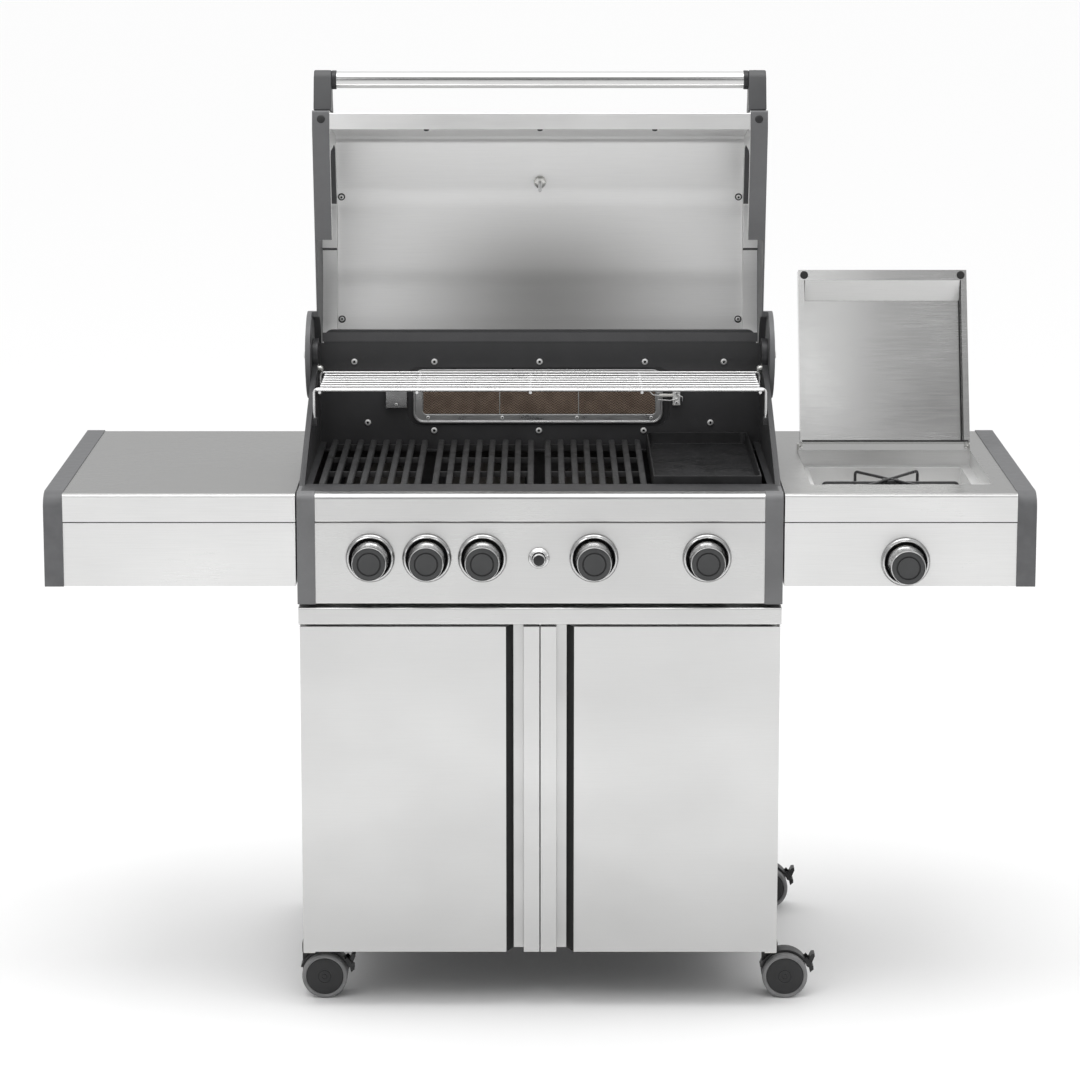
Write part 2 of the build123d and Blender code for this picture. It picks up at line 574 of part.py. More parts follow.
# ---------------------------------------------------------------- side burner
LEDGE_Z = 832.0
with BuildPart() as side_burner_pan:
    x0, x1 = BURNER_OPENING_X
    d0, d1 = BURNER_OPENING_DEPTH
    block((x0 - 1.8, x1 + 1.8), (d0 - SHEET, d1 + SHEET), (LEDGE_Z - SHEET, WORKTOP - SHEET))
    block((x0 - 0.3, x1 + 0.3), (d0, d1), (LEDGE_Z, WORKTOP - SHEET), Mode.SUBTRACT)
    block((454.5, 718.5), (93.5, 364.5), (PAN_FLOOR - SHEET, LEDGE_Z))
    block((456, 717), (95, 363), (PAN_FLOOR, LEDGE_Z), Mode.SUBTRACT)
save(side_burner_pan.part, "side_burner_pan")

WIRE_R = 2.5
TRIVET = (584.0, 232.0)
TRIVET_TOP = 838.0
TRIVET_LOW = 831.5
TRIVET_FOOT = PAN_FLOOR + 0.3
ARM_X = 52.5
ARM_DEPTH = 70.0
BAR_HALF = 112.5
with BuildPart() as trivet:
    for slope in (-1, 1):
        arm_angle = 90 + slope * 36.87
        with Locations(Location((TRIVET[0], FRONT_Y + TRIVET[1], TRIVET_TOP), (0, 0, arm_angle))):
            Cylinder(WIRE_R, 2 * 87.5, rotation=(0, 90, 0))
        for end in (-1, 1):
            foot_x = TRIVET[0] - slope * end * ARM_X
            foot_depth = TRIVET[1] + end * ARM_DEPTH
            rod_z(foot_x, foot_depth, (TRIVET_FOOT, TRIVET_TOP), WIRE_R)
            with Locations((foot_x, FRONT_Y + foot_depth, TRIVET_TOP)):
                Sphere(WIRE_R)
    rod_x((TRIVET[0] - BAR_HALF, TRIVET[0] + BAR_HALF), TRIVET[1], TRIVET_LOW, WIRE_R)
    for end in (-1, 1):
        foot_x = TRIVET[0] + end * BAR_HALF
        rod_z(foot_x, TRIVET[1], (TRIVET_FOOT, TRIVET_LOW), WIRE_R)
        with Locations((foot_x, FRONT_Y + TRIVET[1], TRIVET_LOW)):
            Sphere(WIRE_R)
    rod_z(TRIVET[0], TRIVET[1], (TRIVET_LOW - 1, TRIVET_TOP), 14)
save(trivet.part, "trivet")

# Side-burner lid: a shallow pan, drawn shut about its hinge and leaning back in this pose.
LID_XS = (442.5, 730.5)
LID_REACH = (3.0, 301.0)     # rear and front edges, forward of the hinge
LID_TOP = -6.0               # top skin, above the hinge
LID_BOTTOM = -31.0
EAR_XS = ((445.0, 448.0), (725.0, 728.0))
LID_PIN_R = 2.5
FRONT_HEM = 18.0
SIDE_HEM = 10.0
with BuildPart() as side_lid:
    with BuildSketch(side_lid_plane(LID_XS[1])):
        with BuildLine():
            Polyline(
                (LID_REACH[0], LID_BOTTOM), (LID_REACH[0], LID_TOP),
                (LID_REACH[1], LID_TOP), (LID_REACH[1], LID_BOTTOM), close=True,
            )
        make_face()
    extrude(amount=LID_XS[1] - LID_XS[0])
    with BuildSketch(side_lid_plane(LID_XS[1] - SHEET)):
        with BuildLine():
            Polyline(
                (LID_REACH[0] + SHEET, LID_BOTTOM), (LID_REACH[0] + SHEET, LID_TOP - SHEET),
                (LID_REACH[1] - SHEET, LID_TOP - SHEET), (LID_REACH[1] - SHEET, LID_BOTTOM), close=True,
            )
        make_face()
    extrude(amount=LID_XS[1] - LID_XS[0] - 2 * SHEET, mode=Mode.SUBTRACT)
    # Front hem with two rubber stops, and narrow side hems.
    front_hem = (LID_REACH[1] - FRONT_HEM, LID_REACH[1] - SHEET, LID_XS[0] + SHEET, LID_XS[1] - SHEET)
    left_hem = (LID_REACH[0] + SHEET, LID_REACH[1] - FRONT_HEM, LID_XS[0] + SHEET, LID_XS[0] + SIDE_HEM)
    right_hem = (LID_REACH[0] + SHEET, LID_REACH[1] - FRONT_HEM, LID_XS[1] - SIDE_HEM, LID_XS[1] - SHEET)
    for rear, front, left, right in (front_hem, left_hem, right_hem):
        with BuildSketch(side_lid_plane(right)):
            with Locations(((rear + front) / 2, LID_BOTTOM + SHEET / 2)):
                Rectangle(front - rear, SHEET)
        extrude(amount=right - left)
    for ear_xs in EAR_XS:
        with BuildSketch(side_lid_plane(ear_xs[1])) as ear:
            with BuildLine():
                Polyline((3.5, LID_TOP), (22, LID_TOP), (16, -1), (4, 4.3), (-2, 4.0), (-2, -4.0), close=True)
            make_face()
            Circle(4.5)
            Circle(LID_PIN_R + RUNNING_GAP, mode=Mode.SUBTRACT)
        extrude(amount=3)
    hem_plane = side_lid_plane(0)
    for bumper_x in (LID_XS[0] + 10, LID_XS[1] - 10):
        bumper_origin = hem_plane.from_local_coords((LID_REACH[1] - 9, LID_BOTTOM + SHEET, -bumper_x))
        with BuildSketch(Plane(origin=bumper_origin, x_dir=(1, 0, 0), z_dir=-hem_plane.y_dir)):
            Circle(5.5)
        extrude(amount=3.2)
save(side_lid.part, "side_lid")

# ---------------------------------------------------------------- main lid
LIP_REAR = (376.0, -145.0)
SKIN_POINTS = ((404.0, -145.0), (403.5, 58.8), (286.6, 110.9), (146.8, 135.6), (-10.0, 126.0), (-54.0, 58.0))
SKIN_RADII = [2.5, 42.0, 180.0, 190.0, 110.0]
GAUGE_POINT = (313.1, 99.1)
GAUGE_ANGLE = 66.0           # outward normal of the skin at the gauge, above level
GAUGE_R = 32.0
GAUGE_HIGH = 9.5
PROBE_REACH = 72.0
PROBE_R = 3.0
ARM_INNER = 351.3
ARM_OUTER = 381.0
section = hood_plane(0)
gauge_out = section.x_dir * cos(radians(GAUGE_ANGLE)) + section.y_dir * sin(radians(GAUGE_ANGLE))
gauge_plane = Plane(origin=section.from_local_coords((*GAUGE_POINT, 0)), x_dir=(1, 0, 0), z_dir=gauge_out)
with BuildPart() as hood_outer_skin:
    with BuildSketch(hood_plane(SKIN_HALF)):
        with BuildLine():
            skin_line = FilletPolyline(LIP_REAR, *SKIN_POINTS, radius=SKIN_RADII)
            offset(skin_line, amount=SHEET, side=Side.LEFT)
        make_face()
    extrude(amount=2 * SKIN_HALF)
    with BuildSketch(gauge_plane.offset(-4)):
        Circle(PROBE_R + 0.3)
    extrude(amount=6, mode=Mode.SUBTRACT)
save(hood_outer_skin.part, "hood_outer_skin")

INNER_POINTS = ((380.0, -142.5), (379.5, 42.0), (276.4, 87.4), (138.5, 111.7), (-4.0, 103.0), (-38.0, 57.0),
                (-50.0, 59.0))
INNER_RADII = [22.0, 160.0, 170.0, 80.0, 2.0]
with BuildPart() as hood_inner_skin:
    with BuildSketch(hood_plane(SKIN_HALF)):
        with BuildLine():
            inner_line = FilletPolyline(*INNER_POINTS, radius=INNER_RADII)
            offset(inner_line, amount=SHEET, side=Side.RIGHT)
        make_face()
    extrude(amount=2 * SKIN_HALF)
    with BuildSketch(gauge_plane.offset(-30)):
        Circle(PROBE_R + 0.3)
    extrude(amount=15, mode=Mode.SUBTRACT)
save(hood_inner_skin.part, "hood_inner_skin")

with BuildPart() as hood_thermometer:
    with BuildSketch(gauge_plane):
        Circle(GAUGE_R)
    extrude(amount=GAUGE_HIGH)
    outward = Axis(gauge_plane.origin, gauge_plane.z_dir)
    fillet(hood_thermometer.faces().sort_by(outward)[-1].edges(), 2.5)
    with BuildSketch(gauge_plane.offset(-PROBE_REACH)):
        Circle(PROBE_R)
    extrude(amount=PROBE_REACH + 1)
    with BuildSketch(gauge_plane.offset(-32.5)):
        RegularPolygon(9, 6)
    extrude(amount=5)
save(hood_thermometer.part, "hood_thermometer")

# End castings: plates closing the lid's sides, with ears that hang on the hinge pins.
EAR_INNER = 391.0
EAR_OUTER = 399.0
EAR_R = 75.0
CLEAR_R = 66.0              # everything nearer the pivot than this stays open for the firebox
PLATE_INNER = 380.0         # inner face of the thin plate near the hinge
RACK_SWEEP_R = 206.0        # reach of the warming rack from the pivot
INNER_BAND = ((-300, 62), (-24, 62), (8, 90), (60, 98), (138, 101), (212, 88), (300, 70), (300, 400),
              (-300, 400))
POCKET_POINTS = ((340, -112), (360, -10), (358, 26), (262, 74), (160, 90), (180, -40))
with BuildPart() as hood_castings:
    for side in (-1, 1):
        right_face = max(side * CASTING_INNER, side * CASTING_OUTER)
        with BuildSketch(hood_plane(right_face)):
            with BuildLine():
                outer_line = FilletPolyline(
                    (378, -145), (408, -145), (407.5, 61.4), (288.3, 114.7), (147.5, 139.5), (-12, 130),
                    (-57, 62), radius=[4.0, 46.0, 180.0, 190.0, 110.0],
                )
                Line((-57, 62), (-36, 56))
                Polyline((-36, 56), (-6, 68), (40, 55), (66, 14), (64, -17), (173, -62), (378, -145))
            make_face()
            Circle(CLEAR_R, mode=Mode.SUBTRACT)
        extrude(amount=CASTING_OUTER - CASTING_INNER)
        # Pocket in the inner face, between the lower edge and the inner skin.
        pocket_face = max(side * CASTING_INNER, side * PLATE_INNER)
        with BuildSketch(hood_plane(pocket_face)):
            with BuildLine():
                FilletPolyline(*POCKET_POINTS, close=True, radius=12)
            make_face()
            # Near the hinge only the outer plate remains, so the warming rack stays clear of the lid.
            Circle(RACK_SWEEP_R)
            with BuildLine():
                Polyline(*INNER_BAND, close=True)
            make_face(mode=Mode.SUBTRACT)
        extrude(amount=PLATE_INNER - CASTING_INNER, mode=Mode.SUBTRACT)
        # Bridge from the plate out to the ear, then the round ear itself.
        bridge_face = max(side * PLATE_INNER, side * EAR_INNER)
        with BuildSketch(hood_plane(bridge_face)):
            Circle(EAR_R)
            Circle(CLEAR_R, mode=Mode.SUBTRACT)
            with BuildLine():
                Polyline((0, 0), (150, -34), (150, -150), (-150, -150), (-150, 150), (-70, 150), close=True)
            make_face(mode=Mode.SUBTRACT)
        extrude(amount=EAR_INNER - PLATE_INNER)
        with BuildSketch(hood_plane(max(side * EAR_INNER, side * EAR_OUTER))):
            Circle(EAR_R)
        extrude(amount=EAR_OUTER - EAR_INNER)
        hole_face = max(side * EAR_INNER, side * (EAR_OUTER - 1.5))
        with BuildSketch(hood_plane(hole_face)):
            Circle(HOOD_PIN_R + RUNNING_GAP)
        extrude(amount=EAR_OUTER - 1.5 - EAR_INNER, mode=Mode.SUBTRACT)
save(hood_castings.part, "hood_castings")

# Handle arms, bolted to the fronts of the castings, and the tube between them.
ARM_POINTS = ((408.4, -141.0), (464.0, -134.0), (478.0, -122.0), (478.0, -104.0), (466.0, -94.0),
              (436.0, -88.0), (408.4, -66.0))
with BuildPart() as handle_arms:
    for side in (-1, 1):
        with BuildSketch(hood_plane(max(side * ARM_INNER, side * ARM_OUTER))):
            with BuildLine():
                Polyline(*ARM_POINTS, close=True)
            make_face()
        extrude(amount=ARM_OUTER - ARM_INNER)
save(handle_arms.part, "handle_arms")

with BuildPart() as handle_tube:
    with BuildSketch(hood_plane(ARM_INNER - 0.2)):
        with Locations(HANDLE_CENTRE):
            Circle(HANDLE_R)
            Circle(HANDLE_R - SHEET, mode=Mode.SUBTRACT)
    extrude(amount=2 * ARM_INNER - 0.4)
save(handle_tube.part, "handle_tube")

# ---------------------------------------------------------------- hinge pins and screws
WALL_SCREWS = ((-321.6, 994), (-183, 994), (-0.7, 994), (181.7, 994), (318.5, 994),
               (-299, 887), (-184, 873), (-2, 873), (180, 873), (296, 887))
FRAME_SCREW_XS = (-194.5, -65.6, 64.2, 193.0)
with BuildPart() as hinge_pins:
    for side in (-1, 1):
        pin_x = side * DOOR_PIVOT_X
        rod_z(pin_x, DOOR_PIVOT_DEPTH, (CABINET_BOTTOM - 0.2, DOOR_BOTTOM + 16), DOOR_PIN_R)
        rod_z(pin_x, DOOR_PIVOT_DEPTH, (DOOR_TOP - 16, RAIL_BOTTOM), DOOR_PIN_R)
        rod_x((side * BODY_HALF, side * (EAR_OUTER - 1.8)), PIVOT_DEPTH, PIVOT_Z, HOOD_PIN_R)
    for plate_xs, pin_xs in (((439.3, 442.0), (439.3, 449.0)), ((731.0, 733.7), (724.0, 733.7))):
        block(plate_xs, (378, 393), (WORKTOP, SIDE_LID_PIVOT[1] + 4.5))
        rod_x(pin_xs, SIDE_LID_PIVOT[0], SIDE_LID_PIVOT[1], LID_PIN_R)
save(hinge_pins.part, "hinge_pins")

with BuildPart() as wall_screws:
    for screw_x, screw_z in WALL_SCREWS:
        rod_y(screw_x, (FIREBOX_REAR - 3, FIREBOX_REAR), screw_z, 5)
    for screw_x in FRAME_SCREW_XS:
        rod_y(screw_x, (FRAME_BACK - 5.5, FRAME_BACK - 3), 895.5, 3.2)
save(wall_screws.part, "wall_screws")

# ---------------------------------------------------------------- casters
# One twin-wheel caster is drawn about its wheel centre, with the swivel stem CASTER_TRAIL to the left.
FENDER_INNER = 38.5
FENDER_OUTER = 42.0
LEVER_AT = (40.5, 16.5)
LEVER_PIN_R = 2.5
UPPER_TAB = ((37.5, 19.0), (44.6, 33.4), (49.8, 34.0), (50.2, 29.4), (44.5, 15.5), (40.5, 16.5))
LOWER_TAB = ((44.6, 14.5), (48.2, 12.0), (48.4, 6.6), (42.6, 1.6), (40.8, 12.2), (40.5, 16.5))
BELOW_FENDER = ((-60, -60), (60, -60), (60, 26), (33, 23), (0, 16), (-36, 12), (-60, 12))
caster_face = Plane(origin=(0, 0, 0), x_dir=(1, 0, 0), z_dir=(0, -1, 0))

with BuildPart() as caster_housing:
    with BuildSketch(caster_face.offset(-6)):
        Circle(FENDER_OUTER)
        with BuildLine():
            Polyline(*BELOW_FENDER, close=True)
        make_face(mode=Mode.SUBTRACT)
        Circle(33)
        with Locations((-24.6, 27)):
            Rectangle(25.4, 54)
    extrude(amount=12)
    with BuildSketch(caster_face.offset(-13)):
        Circle(FENDER_OUTER)
        Circle(FENDER_INNER, mode=Mode.SUBTRACT)
        with BuildLine():
            Polyline(*BELOW_FENDER, close=True)
        make_face(mode=Mode.SUBTRACT)
        with Locations((-24.6, 46.4)):
            Rectangle(25.4, 15.2)
    extrude(amount=26)
    # Lugs that hold the brake pedal's pin.
    for lug_start in (-13, 10):
        with BuildSketch(caster_face.offset(lug_start)):
            with Locations(LEVER_AT):
                Circle(4.8)
            with BuildLine():
                Polyline((44.0, 20.0), (36.6, 28.6), (31.6, 23.6), (36.4, 15.2), (38.5, 12.3), close=True)
            make_face()
            Circle(FENDER_INNER, mode=Mode.SUBTRACT)
        extrude(amount=3)
    with BuildSketch(caster_face.offset(-13)):
        with Locations(LEVER_AT):
            Circle(LEVER_PIN_R)
    extrude(amount=26)
    with Locations((0, 0, 0)):
        Cylinder(AXLE_R + RUNNING_GAP, 14, rotation=(90, 0, 0), mode=Mode.SUBTRACT)
    stem_low = 76 - WHEEL_R - 0.5
    with Locations((-CASTER_TRAIL, 0, stem_low + 10)):
        Cylinder(STEM_R + RUNNING_GAP, 20, mode=Mode.SUBTRACT)

with BuildPart() as caster_wheels:
    for wheel_side in (-1, 1):
        with BuildSketch(Plane.XY):
            with BuildLine():
                Polyline(
                    (0, wheel_side * 7), (WHEEL_R - 3, wheel_side * 7), (WHEEL_R, wheel_side * 10),
                    (WHEEL_R, wheel_side * 22), (WHEEL_R - 3, wheel_side * 25),
                    (WHEEL_R - 6.5, wheel_side * 25), (WHEEL_R - 7.5, wheel_side * 24),
                    (0, wheel_side * 24), close=True,
                )
            make_face()
        revolve(axis=Axis.Y)
    with Locations((0, 0, 0)):
        Cylinder(AXLE_R, 30, rotation=(90, 0, 0))

with BuildPart() as caster_lever:
    with BuildSketch(caster_face.offset(-9.5)):
        with Locations(LEVER_AT):
            Circle(4.5)
        with BuildLine():
            Polyline(*UPPER_TAB, close=True)
        make_face()
        with BuildLine():
            Polyline(*LOWER_TAB, close=True)
        make_face()
        with Locations(LEVER_AT):
            Circle(LEVER_PIN_R + RUNNING_GAP, mode=Mode.SUBTRACT)
    extrude(amount=19)

corner_names = {(-1, 0): "front_left", (1, 0): "front_right", (-1, 1): "rear_left", (1, 1): "rear_right"}
for (side, row), corner in corner_names.items():
    wheel_centre = (side * CASTER_X + CASTER_TRAIL, FRONT_Y + CASTER_DEPTHS[row], WHEEL_R)
    for source, kind in ((caster_housing, "housing"), (caster_wheels, "wheels"), (caster_lever, "brake")):
        with BuildPart() as placed:
            with Locations(wheel_centre):
                add(source.part)
        save(placed.part, f"caster_{kind}_{corner}")
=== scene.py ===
import json
import math

import bmesh
import bpy
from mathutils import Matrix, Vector
from mathutils.bvhtree import BVHTree


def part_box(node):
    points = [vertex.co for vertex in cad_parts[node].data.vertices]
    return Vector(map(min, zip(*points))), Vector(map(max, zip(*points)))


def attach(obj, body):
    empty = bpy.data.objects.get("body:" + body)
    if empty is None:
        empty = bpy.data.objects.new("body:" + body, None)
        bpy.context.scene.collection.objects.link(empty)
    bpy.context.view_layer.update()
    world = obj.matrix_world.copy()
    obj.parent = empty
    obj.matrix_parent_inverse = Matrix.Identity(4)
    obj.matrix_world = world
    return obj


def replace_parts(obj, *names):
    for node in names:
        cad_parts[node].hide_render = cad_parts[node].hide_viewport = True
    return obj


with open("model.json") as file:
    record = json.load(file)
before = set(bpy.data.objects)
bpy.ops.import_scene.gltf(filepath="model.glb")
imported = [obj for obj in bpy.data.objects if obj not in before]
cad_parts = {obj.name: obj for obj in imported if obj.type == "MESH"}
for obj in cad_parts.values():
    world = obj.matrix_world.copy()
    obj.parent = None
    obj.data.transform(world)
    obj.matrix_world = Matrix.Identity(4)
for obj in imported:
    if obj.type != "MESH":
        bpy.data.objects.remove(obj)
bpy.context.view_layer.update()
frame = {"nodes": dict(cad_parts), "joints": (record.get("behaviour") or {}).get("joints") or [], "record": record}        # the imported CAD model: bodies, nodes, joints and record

MM = 0.001
WELD = 2e-6                       # metres within which two CAD vertices are one
FLAT = math.radians(0.6)          # faces that meet at less than this are one flat face
NODES = frame["nodes"]
BODIES = frame["record"]["behaviour"]["bodies"]
BODY_OF = {member: body for body, members in BODIES.items() for member in members}
JOINTS = {joint["name"]: joint for joint in frame["joints"]}

# ---------------------------------------------------------------- places taken from the frame
FRONT_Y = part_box("door_left")[0].y                 # front faces of the doors and posts
FRONT = Vector((0, -1, 0))
UP = Vector((0, 0, 1))


def at(x, depth, z):
    """A point from its x, depth behind the front faces and height, all in millimetres."""
    return Vector((x * MM, FRONT_Y + depth * MM, z * MM))


def middle(node):
    low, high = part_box(node)
    return (low + high) / 2


class Lid:
    """Section axes of a lid about its hinge: forward and up as they are when it is shut."""

    def __init__(self, hinge):
        self.pivot = Vector(JOINTS[hinge]["pos_m"])
        opened = math.radians(max(abs(value) for value in JOINTS[hinge]["range_deg"]))
        self.forward = Vector((0, -math.cos(opened), math.sin(opened)))
        self.up = Vector((0, math.sin(opened), math.cos(opened)))

    def at(self, x, forward, up):
        """A point on the lid, in millimetres from the hinge."""
        point = self.pivot + (self.forward * forward + self.up * up) * MM
        return Vector((x * MM, point.y, point.z))


HOOD = Lid("hood_hinge")
SIDE_LID = Lid("side_lid_hinge")


def surface(node, start, direction):
    """Where a ray first meets a CAD piece, and that face's normal turned against the ray."""
    mesh = NODES[node].data
    tree = BVHTree.FromPolygons([v.co for v in mesh.vertices], [tuple(p.vertices) for p in mesh.polygons])
    place, normal, _, _ = tree.ray_cast(start, direction)
    return place, normal if normal.dot(direction) < 0 else -normal


def islands(node):
    """Low and high corners of every separate solid in a CAD piece, from left to right."""
    bm = bmesh.new()
    bm.from_mesh(NODES[node].data)
    bmesh.ops.remove_doubles(bm, verts=bm.verts, dist=WELD)
    waiting = set(bm.verts)
    boxes = []
    while waiting:
        front = [waiting.pop()]
        members = list(front)
        while front:
            vertex = front.pop()
            near = {edge.other_vert(vertex) for edge in vertex.link_edges} & waiting
            waiting -= near
            front.extend(near)
            members.extend(near)
        low = Vector([min(v.co[i] for v in members) for i in range(3)])
        high = Vector([max(v.co[i] for v in members) for i in range(3)])
        boxes.append((low, high))
    bm.free()
    return sorted(boxes, key=lambda box: tuple(box[0]))


# ---------------------------------------------------------------- materials
class Finish:
    """A node material under construction, patterned in the object's own coordinates."""

    def __init__(self, name, colour, metallic=0.0, roughness=0.4):
        self.material = bpy.data.materials.new(name)
        self.material.use_nodes = True
        self.tree = self.material.node_tree
        self.shader = self.tree.nodes["Principled BSDF"]
        self.coordinates = self.tree.nodes.new("ShaderNodeTexCoord")
        self.shader.inputs["Base Color"].default_value = (*colour, 1.0)
        self.shader.inputs["Metallic"].default_value = metallic
        self.shader.inputs["Roughness"].default_value = roughness

    def noise(self, size, stretch=(1, 1, 1), detail=3.0):
        """Noise whose grains are size millimetres across, times stretch along each axis."""
        mapping = self.tree.nodes.new("ShaderNodeMapping")
        mapping.inputs["Scale"].default_value = [1 / (size * MM * factor) for factor in stretch]
        texture = self.tree.nodes.new("ShaderNodeTexNoise")
        texture.inputs["Scale"].default_value = 1.0
        texture.inputs["Detail"].default_value = detail
        self.tree.links.new(self.coordinates.outputs["Object"], mapping.inputs["Vector"])
        self.tree.links.new(mapping.outputs["Vector"], texture.inputs["Vector"])
        return texture.outputs["Fac"]

    def maths(self, operation, first, second=None):
        node = self.tree.nodes.new("ShaderNodeMath")
        node.operation = operation
        for socket, value in zip(node.inputs, (first, second)):
            if isinstance(value, (int, float)):
                socket.default_value = value
            elif value is not None:
                self.tree.links.new(value, socket)
        return node.outputs["Value"]

    def spread(self, value, low, high, start=0.3, stop=0.7):
        """A pattern value stretched over a range."""
        node = self.tree.nodes.new("ShaderNodeMapRange")
        node.inputs["From Min"].default_value = start
        node.inputs["From Max"].default_value = stop
        node.inputs["To Min"].default_value = low
        node.inputs["To Max"].default_value = high
        self.tree.links.new(value, node.inputs["Value"])
        return node.outputs["Result"]

    def mix(self, factor, first, second):
        """Colours or sockets mixed by a pattern."""
        node = self.tree.nodes.new("ShaderNodeMix")
        node.data_type = "RGBA"
        self.tree.links.new(factor, node.inputs["Factor"])
        for name, value in (("A", first), ("B", second)):
            socket = [s for s in node.inputs if s.name == name and s.type == "RGBA"][0]
            if isinstance(value, tuple):
                socket.default_value = (*value, 1.0)
            else:
                self.tree.links.new(value, socket)
        return [s for s in node.outputs if s.type == "RGBA"][0]

    def patch(self, centre, size):
        """1 at a point, falling softly to 0 over an ellipsoid with these half sizes in millimetres."""
        mapping = self.tree.nodes.new("ShaderNodeMapping")
        mapping.inputs["Scale"].default_value = [1 / (half * MM) for half in size]
        mapping.inputs["Location"].default_value = [-c / (half * MM) for c, half in zip(centre, size)]
        length = self.tree.nodes.new("ShaderNodeVectorMath")
        length.operation = "LENGTH"
        fall = self.tree.nodes.new("ShaderNodeMapRange")
        fall.interpolation_type = "SMOOTHSTEP"
        fall.inputs["To Min"].default_value = 1.0
        fall.inputs["To Max"].default_value = 0.0
        self.tree.links.new(self.coordinates.outputs["Object"], mapping.inputs["Vector"])
        self.tree.links.new(mapping.outputs["Vector"], length.inputs[0])
        self.tree.links.new(length.outputs["Value"], fall.inputs["Value"])
        return fall.outputs["Result"]

    def colour(self, socket):
        self.tree.links.new(socket, self.shader.inputs["Base Color"])

    def roughness(self, socket):
        self.tree.links.new(socket, self.shader.inputs["Roughness"])

    def bump(self, height, depth):
        """Relief of this depth in millimetres."""
        node = self.tree.nodes.new("ShaderNodeBump")
        node.inputs["Distance"].default_value = depth * MM
        self.tree.links.new(height, node.inputs["Height"])
        self.tree.links.new(node.outputs["Normal"], self.shader.inputs["Normal"])


def shade(colour, factor):
    """A colour made darker or lighter."""
    return tuple(c * factor for c in colour)


def grain(finish, length=60.0, width=0.55):
    """Brushing that runs along X, or along Y on faces that look sideways."""
    along_x = finish.noise(width, (length / width, 1, 1), 2.0)
    along_y = finish.noise(width, (1, length / width, 1), 2.0)
    split = finish.tree.nodes.new("ShaderNodeSeparateXYZ")
    finish.tree.links.new(finish.coordinates.outputs["Normal"], split.inputs["Vector"])
    sideways = finish.maths("ABSOLUTE", split.outputs["X"])
    choice = finish.maths("GREATER_THAN", sideways, 0.7)
    blend = finish.tree.nodes.new("ShaderNodeMix")
    finish.tree.links.new(choice, blend.inputs["Factor"])
    finish.tree.links.new(along_x, blend.inputs["A"])
    finish.tree.links.new(along_y, blend.inputs["B"])
    return blend.outputs["Result"]


def brushed_steel(
    name, colour, roughness, contrast=0.05, clouds=0.04, metallic=1.0, relief=0.008, painted_shade=None,
):
    """Brushed stainless: fine streaks, broad clouding from handling, and a satin sheen.

    The last argument, when given, paints shade: a soft darker patch, with its centre, its half sizes in
    millimetres and how much darker it is.
    """
    finish = Finish(name, colour, metallic, roughness)
    streaks = grain(finish)
    cloud = finish.noise(160, (1.6, 1.6, 1), 3.0)
    dark = shade(colour, 1 - contrast)
    light = tuple(min(1.0, c * (1 + contrast)) for c in colour)
    streaked = finish.mix(finish.spread(streaks, 0, 1), dark, light)
    clouded = finish.mix(finish.spread(cloud, 0, clouds * 4), streaked, shade(colour, 0.8))
    # A soft patch of painted shade, when one is given.
    if painted_shade:
        centre, size, darker = painted_shade
        shade_weight = finish.maths("MULTIPLY", finish.patch(centre, size), darker)
        clouded = finish.mix(shade_weight, clouded, shade(colour, 0.2))
    finish.colour(clouded)
    worn = finish.maths("ADD", finish.spread(cloud, -0.05, 0.05), finish.spread(streaks, -0.05, 0.05))
    finish.roughness(finish.maths("ADD", worn, roughness))
    finish.bump(streaks, relief)
    return finish.material


def painted(name, colour, roughness, texture=0.9, relief=0.03):
    """Powder coat: a fine orange-peel surface, a little uneven in colour and gloss."""
    finish = Finish(name, colour, 0.0, roughness)
    peel = finish.noise(texture, (1, 1, 1), 2.0)
    cloud = finish.noise(60, (1, 1, 1), 4.0)
    dust = finish.noise(3.5, (1, 1, 1), 6.0)
    base = finish.mix(finish.spread(cloud, 0, 1), shade(colour, 0.92), shade(colour, 1.14))
    speck = tuple(c * 1.5 + 0.01 for c in colour)
    finish.colour(finish.mix(finish.spread(dust, 0, 0.35, 0.6, 0.85), base, speck))
    finish.roughness(finish.spread(cloud, roughness - 0.06, roughness + 0.08))
    finish.bump(peel, relief)
    return finish.material


def cast_surface(name, colour, roughness, relief=0.12):
    """Cast iron under matte enamel: pitted, with rubbed and sooty patches."""
    finish = Finish(name, colour, 0.15, roughness)
    pits = finish.noise(1.1, (1, 1, 1), 5.0)
    soot = finish.noise(28, (1, 1, 1), 5.0)
    base = finish.mix(finish.spread(soot, 0, 1), shade(colour, 0.7), shade(colour, 1.25))
    finish.colour(finish.mix(finish.spread(pits, 0, 0.5, 0.55, 0.8), base, shade(colour, 1.9)))
    finish.roughness(finish.spread(soot, roughness - 0.1, roughness + 0.12))
    finish.bump(pits, relief)
    return finish.material


def polished(name, colour, roughness, metallic=1.0, relief=0.01):
    """Chrome or zinc plate with faint wipe marks."""
    finish = Finish(name, colour, metallic, roughness)
    wipes = finish.noise(14, (3, 1, 1), 4.0)
    finish.colour(finish.mix(finish.spread(wipes, 0, 1), shade(colour, 0.93), colour))
    finish.roughness(finish.spread(wipes, roughness * 0.7, roughness * 1.7))
    finish.bump(wipes, relief)
    return finish.material


def moulded(name, colour, roughness, texture=0.5, relief=0.03):
    """Moulded plastic or rubber with a fine spark-eroded texture."""
    finish = Finish(name, colour, 0.0, roughness)
    fine = finish.noise(texture, (1, 1, 1), 2.0)
    cloud = finish.noise(20, (1, 1, 1), 4.0)
    finish.colour(finish.mix(finish.spread(cloud, 0, 1), shade(colour, 0.88), shade(colour, 1.15)))
    finish.roughness(finish.spread(cloud, roughness - 0.07, roughness + 0.09))
    finish.bump(fine, relief)
    return finish.material


